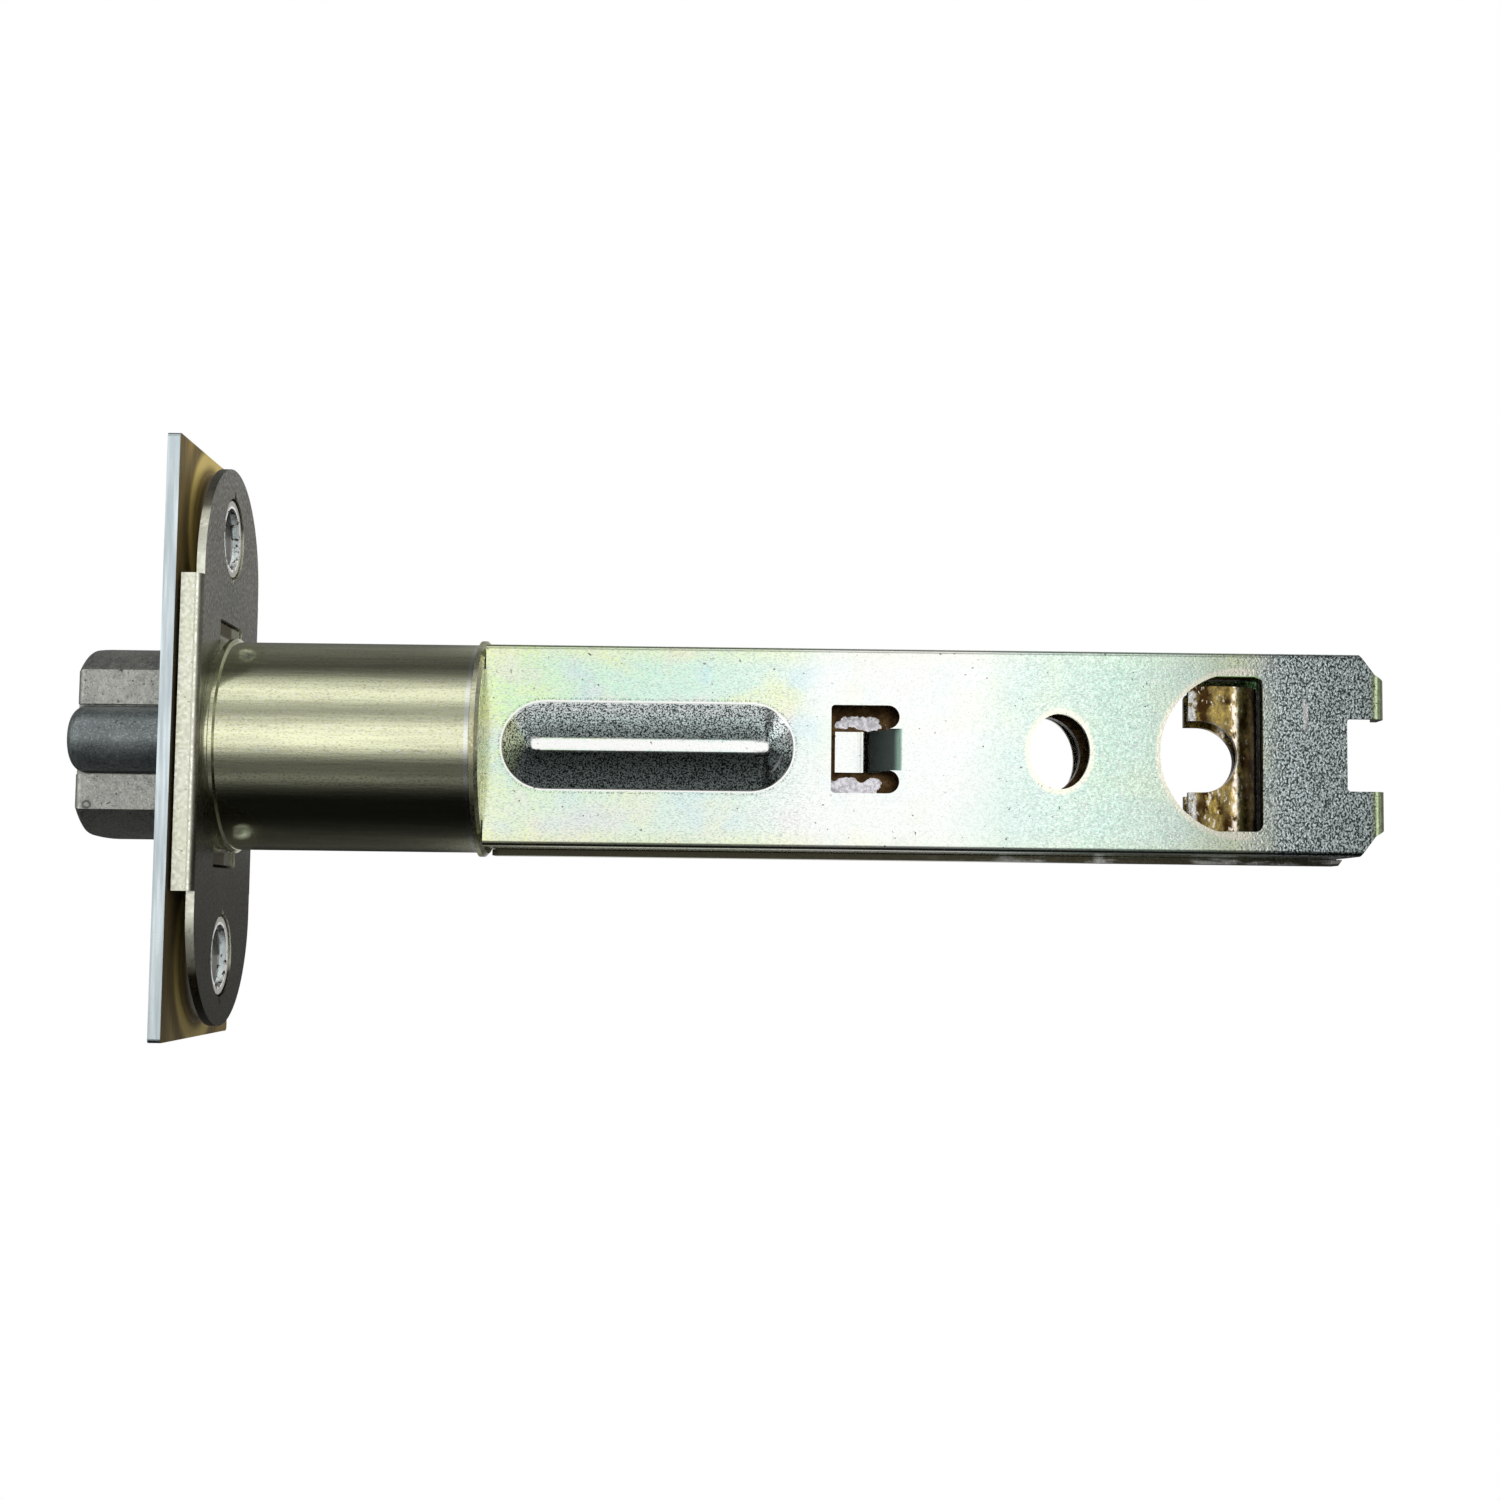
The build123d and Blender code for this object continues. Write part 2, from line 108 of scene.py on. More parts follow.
class NodeTree:
    """Small helper that writes the nodes of a material or a world."""

    def __init__(self, owner: bpy.types.Material | bpy.types.World, output: str) -> None:
        """Clear the owner's nodes and add an output.

        Args:
            owner: The material or the world.
            output: Kind of its output node.
        """
        owner.use_nodes = True
        self.tree = owner.node_tree
        self.tree.nodes.clear()
        self.output = self.node(output)

    def join(self, source: Socket, target: Socket) -> None:
        """Link two sockets."""
        self.tree.links.new(source, target)

    def node(self, kind: str) -> bpy.types.Node:
        """Add a node of a kind and return it."""
        return self.tree.nodes.new(kind)

    def maths(self, operation: str, first: Socket, second: Socket | float = 0.0) -> Socket:
        """Combine two values.

        Args:
            operation: Name of the operation.
            first: First value.
            second: Second value or a number.

        Returns:
            The result.
        """
        node = self.node("ShaderNodeMath")
        node.operation = operation
        self.join(first, node.inputs[0])
        if isinstance(second, (int, float)):
            node.inputs[1].default_value = second
        else:
            self.join(second, node.inputs[1])
        return node.outputs["Value"]

    def times(self, first: Socket, second: Socket | float) -> Socket:
        """Product of two values."""
        return self.maths("MULTIPLY", first, second)

    def seen_rays(self) -> Socket:
        """Find the rays that show the ground.

        Returns:
            The share, 1 for camera, glossy and transmission rays.
        """
        path = self.node("ShaderNodeLightPath")
        seen = self.maths("MAXIMUM", path.outputs["Is Camera Ray"], path.outputs["Is Glossy Ray"])
        return self.maths("MAXIMUM", seen, path.outputs["Is Transmission Ray"])

    def show(self, usual: Socket, seen: Socket, share: Socket) -> None:
        """Mix two shaders into the output.

        Args:
            usual: Shader where the share is 0.
            seen: Shader where the share is 1.
            share: How much of the second shows.
        """
        mix = self.node("ShaderNodeMixShader")
        for index, part in enumerate((share, usual, seen)):
            self.join(part, mix.inputs[index])
        self.join(mix.outputs["Shader"], self.output.inputs["Surface"])


class Coat(NodeTree):
    """Small helper that writes one material round its main shader."""

    def __init__(self, name: str) -> None:
        """Start an empty material.

        Args:
            name: The material's name.
        """
        self.material = bpy.data.materials.new(name)
        super().__init__(self.material, "ShaderNodeOutputMaterial")
        self.shader = self.node("ShaderNodeBsdfPrincipled")
        self.join(self.shader.outputs["BSDF"], self.output.inputs["Surface"])

    def wire(self, value: Socket, name: str) -> None:
        """Link a value to a named socket of the main shader."""
        self.join(value, self.shader.inputs[name])

    def noise(self, scale: float, stretch: Sequence[float] = (1, 1, 1), detail: float = 3.0,
              shift: float = 0.0) -> Socket:
        """Noise in the object's own space.

        Args:
            scale: Cells a metre.
            stretch: Factor along each axis.
            detail: Octaves.
            shift: Offset in metres, for another pattern of the same scale.

        Returns:
            The noise value, about 0.5 on average.
        """
        coordinate = self.node("ShaderNodeTexCoord")
        mapping = self.node("ShaderNodeMapping")
        mapping.inputs["Location"].default_value = (shift, shift, shift)
        mapping.inputs["Scale"].default_value = tuple(stretch)
        texture = self.node("ShaderNodeTexNoise")
        texture.inputs["Scale"].default_value = scale
        texture.inputs["Detail"].default_value = detail
        self.join(coordinate.outputs["Object"], mapping.inputs["Vector"])
        self.join(mapping.outputs["Vector"], texture.inputs["Vector"])
        return texture.outputs["Fac"]

    def span(self, value: Socket, low: float, high: float, start: float = 0.0, end: float = 1.0) -> Socket:
        """Map a value from one span to another, smoothly and clamped.

        Args:
            value: The value to map.
            low: Where the source span starts.
            high: Where the source span ends.
            start: Result at low.
            end: Result at high.

        Returns:
            The mapped value.
        """
        mapped = self.node("ShaderNodeMapRange")
        mapped.interpolation_type = "SMOOTHSTEP"
        for name, number in (("From Min", low), ("From Max", high), ("To Min", start), ("To Max", end)):
            mapped.inputs[name].default_value = number
        self.join(value, mapped.inputs["Value"])
        return mapped.outputs["Result"]

    def fade(self, place: Socket, low: float, high: float, start: float = 0.0, end: float = 1.0) -> Socket:
        """Span of a place, with its limits in millimetres."""
        return self.span(place, low * MM, high * MM, start, end)

    def grains(self, kind: Specks) -> Socket:
        """Noise of a kind of specks."""
        return self.noise(kind.scale, kind.stretch, kind.detail, kind.shift)

    def specks(self, kind: Specks) -> Socket:
        """Share of a kind of specks."""
        return self.span(self.grains(kind), kind.low, kind.high, 0.0, kind.most)

    def drift(self, noise: Socket, size: float) -> Socket:
        """Noise round zero, times a size."""
        return self.times(self.maths("SUBTRACT", noise, 0.5), size)

    def blend(self, first: Socket | Colour, second: Socket | Colour, share: Socket | float,
              mode: str = "MIX") -> Socket:
        """Mix two colours.

        Args:
            first: Colour where the share is 0.
            second: Colour where the share is 1.
            share: How much of the second shows.
            mode: How the second meets the first.

        Returns:
            The mixed colour.
        """
        mix = self.node("ShaderNodeMix")
        mix.data_type = "RGBA"
        mix.blend_type = mode
        for index, part in ((0, share), (6, first), (7, second)):
            if isinstance(part, tuple):
                mix.inputs[index].default_value = (*part, 1.0)
            elif isinstance(part, float):
                mix.inputs[index].default_value = part
            else:
                self.join(part, mix.inputs[index])
        return mix.outputs[2]

    def layers(self, colour: Socket, *films: tuple[Colour | Socket, Socket]) -> Socket:
        """Lay several films over a colour.

        Args:
            colour: The colour below.
            films: Each film's colour and its share.

        Returns:
            The colour on top.
        """
        for film, share in films:
            colour = self.blend(colour, film, share)
        return colour

    def dimmed(self, colour: Colour, factor: Socket) -> Socket:
        """Multiply a colour.

        Args:
            colour: The colour.
            factor: What it is multiplied by.

        Returns:
            The product.
        """
        scaled = self.node("ShaderNodeVectorMath")
        scaled.operation = "SCALE"
        scaled.inputs[0].default_value = colour
        self.join(factor, scaled.inputs["Scale"])
        return scaled.outputs["Vector"]

    def ramp(self, value: Socket, stops: Stops) -> Socket:
        """Colour that runs through several tints.

        Args:
            value: The value that picks the tint.
            stops: Values in rising order, each with its tint.

        Returns:
            The tint.
        """
        low, high = stops[0][0], stops[-1][0]
        share = self.node("ShaderNodeMapRange")
        share.inputs["From Min"].default_value = low
        share.inputs["From Max"].default_value = high
        self.join(value, share.inputs["Value"])
        curve = self.node("ShaderNodeValToRGB")
        elements = curve.color_ramp.elements
        for index, (place, colour) in enumerate(stops):
            position = (place - low) / (high - low)
            element = elements[index] if index < 2 else elements.new(position)
            element.position = position
            element.color = (*colour, 1.0)
        self.join(share.outputs["Result"], curve.inputs["Fac"])
        return curve.outputs["Color"]

    def tints(self, place: Socket, stops: Stops) -> Socket:
        """Ramp over a place, with its stops in millimetres."""
        return self.ramp(place, [(stop * MM, colour) for stop, colour in stops])

    def parts(self, output: str) -> Sequence[Socket]:
        """Split the object's coordinates or normal.

        Args:
            output: Name of the coordinate output.

        Returns:
            Its three parts.
        """
        coordinate = self.node("ShaderNodeTexCoord")
        split = self.node("ShaderNodeSeparateXYZ")
        self.join(coordinate.outputs[output], split.inputs["Vector"])
        return split.outputs

    def facing(self, side: Facing, low: float = 0.5, high: float = 0.8) -> Socket:
        """Share of a surface that faces one side of the latch.

        Args:
            side: The side.
            low: Part of the normal at which the share starts.
            high: Part at which it is whole.

        Returns:
            The share.
        """
        axis, sign = side.value
        return self.span(self.parts("Normal")[axis], sign * low, sign * high)

    def along(self) -> Socket:
        """Place along the latch in metres."""
        return self.parts("Object")[0]

    def across(self) -> Socket:
        """Place across the latch in metres."""
        return self.parts("Object")[1]

    def up(self) -> Socket:
        """Place above the latch's axis in metres."""
        return self.parts("Object")[2]

    def height(self) -> Socket:
        """Distance in metres above or below the latch's axis."""
        return self.maths("ABSOLUTE", self.up())

    def band(self, value: Socket, middle: float, half: float, soft: float) -> Socket:
        """Share that is 1 in a band of a value, with soft sides.

        Args:
            value: The value.
            middle: Middle of the band.
            half: Half of its width.
            soft: Width of each soft side.

        Returns:
            The share.
        """
        away = self.maths("ABSOLUTE", self.maths("SUBTRACT", value, middle))
        return self.span(away, half, half + soft, 1.0, 0.0)

    def stripe(self, place: Socket, middle: float, half: float, soft: float) -> Socket:
        """Band of a place, with its sizes in millimetres."""
        return self.band(place, middle * MM, half * MM, soft * MM)

    def oval(self, first: Socket, second: Socket, centre: Pair, half: Pair) -> Socket:
        """Distance from an oval's centre, as a share of its radius.

        Args:
            first: Coordinate across the oval.
            second: Coordinate up the oval.
            centre: The oval's centre in millimetres.
            half: Its two radii in millimetres.

        Returns:
            The distance, 1 on the rim.
        """
        squares = []
        for value, middle, radius in ((first, centre[0], half[0]), (second, centre[1], half[1])):
            part = self.maths("DIVIDE", self.maths("SUBTRACT", value, middle * MM), radius * MM)
            squares.append(self.times(part, part))
        return self.maths("SQRT", self.maths("ADD", squares[0], squares[1]))

    def relief(self, height: Socket, strength: float, depth: float) -> None:
        """Bump the surface.

        Args:
            height: Height between 0 and 1.
            strength: Share of the bump that shows.
            depth: Height of the bump in metres.
        """
        bump = self.node("ShaderNodeBump")
        bump.inputs["Strength"].default_value = strength
        bump.inputs["Distance"].default_value = depth
        self.join(height, bump.inputs["Height"])
        self.wire(bump.outputs["Normal"], "Normal")


@dataclass(frozen=True)
class MetalFinish:
    """Plain worked metal: tone patches, grain lines and fine relief."""

    name: str
    colour: Colour
    tone: Colour
    roughness: float = 0.3
    roughness_swing: float = 0.1
    metallic: float = 1.0
    patch: float = 220.0
    grain: Grain = Grain.NONE
    grain_scale: float = 3200.0
    grain_depth: float = 2.0e-6
    relief: float = 0.5

    def material(self) -> bpy.types.Material:
        """Build the material.

        Returns:
            The finished material.
        """
        coat = Coat(self.name)
        coat.wire(self.tint(coat), "Base Color")
        self.surface(coat)
        return coat.material

    def mottle(self, coat: Coat, first: Colour, second: Colour) -> Socket:
        """Mix two tones by soft patches and grain lines.

        Args:
            coat: The material's helper.
            first: One tone.
            second: The other tone.

        Returns:
            The mixed colour.
        """
        patches = coat.noise(self.patch, self.grain.value)
        lines = coat.noise(self.grain_scale, self.grain.value)
        mixed = coat.maths("ADD", coat.times(patches, 0.55), coat.times(lines, 0.45))
        return coat.blend(first, second, coat.span(mixed, 0.38, 0.62))

    def tint(self, coat: Coat) -> Socket:
        """Colour of the surface."""
        return self.mottle(coat, self.colour, self.tone)

    def surface(self, coat: Coat) -> None:
        """Set gloss and relief from the grain.

        Args:
            coat: The material's helper.
        """
        coat.shader.inputs["Metallic"].default_value = self.metallic
        lines = self.lines(coat)
        coat.wire(self.gloss(coat, lines), "Roughness")
        coat.relief(lines, self.relief, self.grain_depth)

    def lines(self, coat: Coat) -> Socket:
        """Grain lines in full detail."""
        return coat.noise(self.grain_scale, self.grain.value, 4.0)

    def gloss(self, coat: Coat, grain: Socket) -> Socket:
        """Roughness that swings with a grain."""
        low, high = self.roughness - self.roughness_swing, self.roughness + self.roughness_swing
        return coat.span(grain, 0.3, 0.7, low, high)


@dataclass(frozen=True)
class TubeFinish(MetalFinish):
    """Drawn tube: long fine lines and a rolled ring near its rear end, with painted shade and a painted
    highlight.
    """

    ring_x: float = 28.7
    ring_glint: float = 0.35
    front_x: Pair = (3.2, 3.5)
    ear_x: Pair = (4.2, 4.6)
    ear_z: Pair = (10.4, 10.7)
    less_shade_y: Pair = (0.4, 1.4)
    dark_specks: Specks = Specks(8000.0, 0.52, 0.68, 0.3, (0.45, 1.0, 1.0), 2.0)
    pale_specks: Specks = Specks(8000.0, 0.54, 0.68, 0.5, (0.45, 1.0, 1.0), 2.0, 0.4)
    groove: Colour = (0.08, 0.07, 0.05)
    bright: Colour = (0.92, 0.96, 0.97)

    def tint(self, coat: Coat) -> Socket:
        """Lines, then painted shade in the ring's groove and a painted highlight beside it.

        Args:
            coat: The material's helper.

        Returns:
            The finished colour.
        """
        along = coat.along()
        # Painted highlight beside the ring's groove.
        glint = coat.stripe(along, self.ring_x - self.ring_glint, 0.12, 0.12)
        return coat.layers(
            self.mottle(coat, self.colour, self.tone),
            (self.groove, coat.specks(self.dark_specks)),
            (self.bright, coat.specks(self.pale_specks)),
            # Painted shade in the ring's groove.
            (self.groove, coat.stripe(along, self.ring_x, 0.03, 0.1)),
            # Painted highlight beside the groove.
            (self.bright, coat.times(glint, 0.7)),
            # Painted shade on the ears in the plate's notches.
            (self.groove, self.ears(coat)),
            (self.groove, coat.fade(along, *self.front_x, 0.85, 0.0)),
        )

    def ears(self, coat: Coat) -> Socket:
        """Share of painted shade on the two ears in the mounting plate's notches, less at one side.

        Args:
            coat: The material's helper.

        Returns:
            The share.
        """
        front = coat.fade(coat.along(), *self.ear_x, 1.0, 0.0)
        # Less painted shade towards the far side.
        bare = coat.fade(coat.across(), *self.less_shade_y, 1.0, 0.2)
        return coat.times(coat.times(coat.fade(coat.height(), *self.ear_z), front), bare)

    def surface(self, coat: Coat) -> None:
        """Set gloss, drawn lines and fine speckle.

        Args:
            coat: The material's helper.
        """
        ears, speckle = self.ears(coat), coat.grains(self.dark_specks)
        coat.wire(coat.span(ears, 0.0, 1.0, self.metallic, 0.0), "Metallic")
        rough = coat.maths("ADD", self.gloss(coat, speckle), coat.times(ears, 0.8))
        coat.wire(rough, "Roughness")
        lines = coat.times(self.lines(coat), 0.6)
        height = coat.maths("ADD", lines, coat.times(speckle, 0.4))
        coat.relief(height, self.relief, self.grain_depth)


@dataclass(frozen=True)
class FaceplateFinish(MetalFinish):
    """Plated sheet: silver edges and face, bronzed back with a painted highlight and painted shade, steel
    collars with bright bores.
    """

    back: Colour = (0.38, 0.27, 0.08)
    back_tone: Colour = (0.32, 0.22, 0.06)
    gleam: Colour = (0.86, 0.68, 0.22)
    dark: Colour = (0.06, 0.045, 0.02)
    collar: Colour = (0.50, 0.50, 0.46)
    bore: Colour = (0.97, 0.97, 0.95)
    sheet: float = 1.2
    screw_z: float = 20.65
    foot_r: float = 6.6
    bore_r: float = 3.05
    gap_z: Pair = (13.5, 16.0)
    side_y: Pair = (-11.5, -8.0)
    low_z: Pair = (-4.0, -10.0)
    bronze_clouds: Specks = Specks(170.0, 0.4, 0.62)
    bore_specks: Specks = Specks(1500.0, 0.37, 0.45, detail=4.0)
    lump_scale: float = 1800.0

    def tint(self, coat: Coat) -> Socket:
        """Tint by side and by the distance from the nearer screw, with a painted highlight and painted shade
        on the back.

        Args:
            coat: The material's helper.

        Returns:
            The finished colour.
        """
        silver = self.mottle(coat, self.colour, self.tone)
        bronze = coat.blend(self.back, self.back_tone, coat.specks(self.bronze_clouds))
        reach = self.reach(coat, self.foot_r)
        bronze = coat.layers(
            bronze,
            # Painted highlight: a gold ring round each screw.
            (self.gleam, coat.times(coat.band(reach, 1.2, 0.05, 0.16), 0.75)),
            # Painted shade: a thin dark ring, the collar's foot and the middle between the screws.
            (self.dark, coat.times(coat.band(reach, 1.5, 0.04, 0.22), 0.6)),
            (self.dark, coat.span(reach, 0.92, 1.06, 0.8, 0.0)),
            (self.dark, coat.fade(coat.height(), *self.gap_z, 0.95, 0.0)),
            # Darker at the near side and towards the bottom.
            (self.dark, coat.fade(coat.across(), *self.side_y, 0.7, 0.0)),
            (self.dark, coat.fade(coat.up(), *self.low_z, 0.0, 0.6)),
        )
        drawn = coat.fade(coat.along(), self.sheet + 0.25, self.sheet + 0.7)
        low, high = (self.bore_r + 0.15) / self.foot_r, (self.bore_r + 0.35) / self.foot_r
        inside = coat.span(reach, low, high, 1.0, 0.0)
        bright = coat.blend(self.dark, self.bore, coat.specks(self.bore_specks))
        return coat.layers(
            silver,
            (bronze, coat.facing(Facing.TAIL, 0.3, 0.6)),
            (self.collar, drawn),
            (bright, coat.times(inside, drawn)),
        )

    def reach(self, coat: Coat, radius: float) -> Socket:
        """Distance from the nearer screw, as a share of a radius."""
        return coat.oval(coat.across(), coat.height(), (0.0, self.screw_z), (radius, radius))

    def surface(self, coat: Coat) -> None:
        """Set gloss and grain, a duller back and rough bright bores.

        Args:
            coat: The material's helper.
        """
        rear = coat.facing(Facing.TAIL, 0.3, 0.6)
        coat.wire(coat.span(rear, 0.0, 1.0, self.metallic, 0.25), "Metallic")
        bore = coat.span(self.reach(coat, self.bore_r), 1.05, 1.12, 1.0, 0.0)
        lines = self.lines(coat)
        rough = coat.maths("ADD", self.gloss(coat, lines), coat.times(rear, 0.25))
        coat.wire(coat.maths("SUBTRACT", rough, coat.times(bore, 0.16)), "Roughness")
        lumps = coat.times(coat.times(coat.noise(self.lump_scale, detail=4.0), bore), 24.0)
        coat.relief(coat.maths("ADD", lines, lumps), self.relief, self.grain_depth)


@dataclass(frozen=True)
class BackingFinish(MetalFinish):
    """Mounting plate: warm grey back, cream edges and flanges."""

    back: Colour = (0.34, 0.33, 0.28)
    back_tone: Colour = (0.25, 0.25, 0.21)
    grime_and_darkening: Colour = (0.10, 0.09, 0.06)
    cream_half: float = 21.5
    low_z: Pair = (-6.0, -14.0)
    grime_specks: Specks = Specks(2300.0, 0.66, 0.76, 0.6)

    def tint(self, coat: Coat) -> Socket:
        """Tint by side, with specks of dirt; the grey part is darker towards the bottom.

        Args:
            coat: The material's helper.

        Returns:
            The finished colour.
        """
        cream = self.mottle(coat, self.colour, self.tone)
        grey = self.mottle(coat, self.back, self.back_tone)
        # The grey part is darker towards the bottom.
        low = coat.fade(coat.up(), *self.low_z, 0.0, 0.6)
        grey = coat.blend(grey, self.grime_and_darkening, low)
        ends = coat.fade(coat.height(), self.cream_half, self.cream_half + 1.0)
        colour = coat.blend(cream, grey, coat.maths("MAXIMUM", ends, coat.facing(Facing.TAIL)))
        return coat.blend(colour, self.grime_and_darkening, coat.specks(self.grime_specks))


@dataclass(frozen=True)
class CaseFinish(MetalFinish):
    """Passivated zinc of the case: pastel clouds, speckle, and painted highlights and shade on rims, slopes,
    tab, edges and tail.
    """

    # Tints along the case; the near-white stretch from 61 to 76 mm is partly painted highlight.
    cloud_and_sheen_tints: tuple[tuple[float, Colour], ...] = (
        (29.6, (0.84, 0.98, 0.48)), (33.0, (0.68, 0.96, 0.54)), (44.0, (0.64, 0.94, 0.74)),
        (55.0, (0.72, 0.94, 0.80)), (61.0, (0.93, 0.96, 0.93)), (76.0, (0.93, 0.96, 0.93)),
        (82.0, (0.72, 0.88, 0.80)), (90.0, (0.58, 0.82, 0.68)), (97.0, (0.73, 0.92, 0.76)),
        (101.0, (0.78, 0.90, 0.60)), (104.5, (0.72, 0.78, 0.64)), (107.0, (0.62, 0.68, 0.70)),
        (116.0, (0.58, 0.62, 0.66)),
    )
    # Painted shade on the tab's slope, then a painted highlight at its bend.
    tab_shade_and_highlight: tuple[tuple[float, Colour], ...] = (
        (67.0, (0.22, 0.27, 0.26)), (69.0, (0.22, 0.27, 0.26)), (70.0, (0.62, 0.96, 0.78)),
    )
    wobble: float = 5.0
    warm: Colour = (0.94, 0.95, 0.42)
    cool: Colour = (0.56, 0.82, 0.92)
    rose: Colour = (0.94, 0.74, 0.76)
    white: Colour = (0.97, 0.97, 0.95)
    coal: Colour = (0.05, 0.07, 0.07)
    halo: Colour = (0.97, 0.96, 0.80)
    # Grease specks, and painted shade on the flanges' cut edge.
    grease: Colour = (0.05, 0.045, 0.03)
    olive: Colour = (0.34, 0.40, 0.20)
    green: Colour = (0.50, 0.92, 0.34)
    steel: Colour = (0.82, 0.94, 0.93)
    pressed: Colour = (0.47, 0.56, 0.54)
    bulge_x: float = 45.3
    bulge_half: Pair = (14.1, 4.25)
    slope_reach: float = 3.7
    crest_x: float = 45.6
    crest_half: float = 11.2
    glint_x: Pair = (56.5, 57.0)
    bolt_hole_x: float = 84.97
    bolt_hole_half: Pair = (2.92, 3.64)
    cam_hole_x: float = 102.48
    cam_hole_r: float = 7.87
    web_half: float = 9.75
    tail_x: float = 104.6
    scratch_x: float = 108.6
    ear_x: Pair = (114.6, 115.4)
    pastel_x: Pair = (58.0, 63.0)
    speckled_x: Pair = (76.0, 84.0)
    pale_z: Pair = (-7.0, -1.0)
    edge_z: Pair = (7.4, 9.4)
    tab_x: float = 68.3
    tab_half: Pair = (1.3, 2.0)
    edge_streak_x: Pair = (70.0, 90.0)
    flange_z: Pair = (5.5, 5.8)
    plain_relief: float = 0.38
    drift_scale: float = 75.0
    slope_scale: float = 6500.0
    crest_scale: float = 3600.0
    tail_scale: float = 500.0
    relief_scale: float = 4200.0
    grease_specks: Specks = Specks(2300.0, 0.70, 0.77, 0.8, detail=2.0)
    cool_clouds: Specks = Specks(210.0, 0.5, 0.66, 0.5, shift=0.3)
    warm_clouds: Specks = Specks(150.0, 0.5, 0.66, 0.55, shift=0.7)
    rose_clouds: Specks = Specks(190.0, 0.5, 0.66, 0.4, shift=1.1)
    dark_grain: Specks = Specks(9000.0, 0.50, 0.60, 0.65, (0.4, 1.0, 1.0), 2.0)
    pale_grain: Specks = Specks(9000.0, 0.50, 0.60, 0.5, (0.4, 1.0, 1.0), 2.0, 0.9)
    foot_specks: Specks = Specks(6000.0, 0.50, 0.58)
    tail_specks: Specks = Specks(5200.0, 0.43, 0.54, stretch=(1.0, 1.0, 0.8), detail=2.0)
    scratch_breaks: Specks = Specks(900.0, 0.42, 0.56, stretch=(1.0, 1.0, 0.4))
    edge_streaks: Specks = Specks(1700.0, 0.48, 0.7, 0.3, stretch=(0.2, 1.0, 1.0))

    def tint(self, coat: Coat) -> Socket:
        """Layer clouds, rims, slopes, tail, inner faces and grease.

        Args:
            coat: The material's helper.

        Returns:
            The finished colour.
        """
        colour = self.clouds(coat)
        colour = self.rims(coat, colour)
        colour = self.slopes(coat, colour)
        colour = self.tail(coat, colour)
        colour = coat.blend(colour, self.grease, coat.specks(self.grease_specks))
        return self.hidden_faces(coat, colour)

    def clouds(self, coat: Coat) -> Socket:
        """Tints along the case, the near-white middle partly painted highlight, with cool, warm and rose
        clouds.

        Args:
            coat: The material's helper.

        Returns:
            The clouded colour.
        """
        drift = coat.drift(coat.noise(self.drift_scale, detail=2.0), self.wobble * 2 * MM)
        colour = coat.tints(coat.maths("ADD", coat.along(), drift), self.cloud_and_sheen_tints)
        pastel = coat.fade(coat.along(), *self.pastel_x, 1.0, 0.25)
        for tint, kind in (
            (self.cool, self.cool_clouds), (self.warm, self.warm_clouds), (self.rose, self.rose_clouds),
        ):
            colour = coat.blend(colour, tint, coat.times(coat.specks(kind), pastel))
        pale = coat.fade(coat.up(), *self.pale_z, 0.4, 0.0)
        colour = coat.blend(colour, self.white, coat.times(pale, pastel))
        edge = coat.fade(coat.height(), *self.edge_z, 0.0, 0.45)
        colour = coat.blend(colour, self.warm, coat.times(edge, pastel))
        grainy = coat.maths("ADD", pastel, coat.fade(coat.along(), *self.speckled_x, 0.0, 0.75))
        for tint, kind in ((self.pressed, self.dark_grain), (self.white, self.pale_grain)):
            colour = coat.blend(colour, tint, coat.times(coat.specks(kind), grainy))
        return colour

    def rims(self, coat: Coat, colour: Socket) -> Socket:
        """Painted highlights round the oval and the D-shaped hole and along the bulge's rounded foot, with
        dark specks by the foot.

        Args:
            coat: The material's helper.
            colour: The colour below.

        Returns:
            The colour with its rims.
        """
        along, up = coat.along(), coat.up()
        oval = coat.oval(along, up, (self.bolt_hole_x, 0.0), self.bolt_hole_half)
        cam = coat.oval(along, up, (self.cam_hole_x, 0.0), (self.cam_hole_r, self.cam_hole_r))
        round_part = coat.fade(along, self.cam_hole_x + 1.0, self.cam_hole_x + 1.8, 1.0, 0.0)
        reach = self.bulge_reach(coat)
        bits = coat.times(coat.stripe(reach, 0.26, 0.03, 0.14), coat.specks(self.foot_specks))
        return coat.layers(
            colour,
            # Painted highlights round the oval and the D-shaped hole.
            (self.halo, coat.span(oval, 1.08, 1.20, 0.9, 0.0)),
            (self.halo, coat.times(coat.band(cam, 1.0, 0.035, 0.04), round_part)),
            (self.coal, coat.times(bits, 0.6)),
            # Painted highlight along the bulge's rounded foot.
            (self.white, coat.stripe(reach, 0.0, 0.07, 0.08)),
        )

    def bulge_reach(self, coat: Coat) -> Socket:
        """Distance in metres outside the bulge's foot line, negative on the bulge.

        Args:
            coat: The material's helper.

        Returns:
            The distance.
        """
        straight = (self.bulge_half[0] - self.bulge_half[1]) * MM
        away = coat.maths("ABSOLUTE", coat.maths("SUBTRACT", coat.along(), self.bulge_x * MM))
        along = coat.maths("MAXIMUM", coat.maths("SUBTRACT", away, straight), 0.0)
        up = coat.up()
        reach = coat.maths("SQRT", coat.maths("ADD", coat.times(along, along), coat.times(up, up)))
        return coat.maths("SUBTRACT", reach, self.bulge_half[1] * MM)

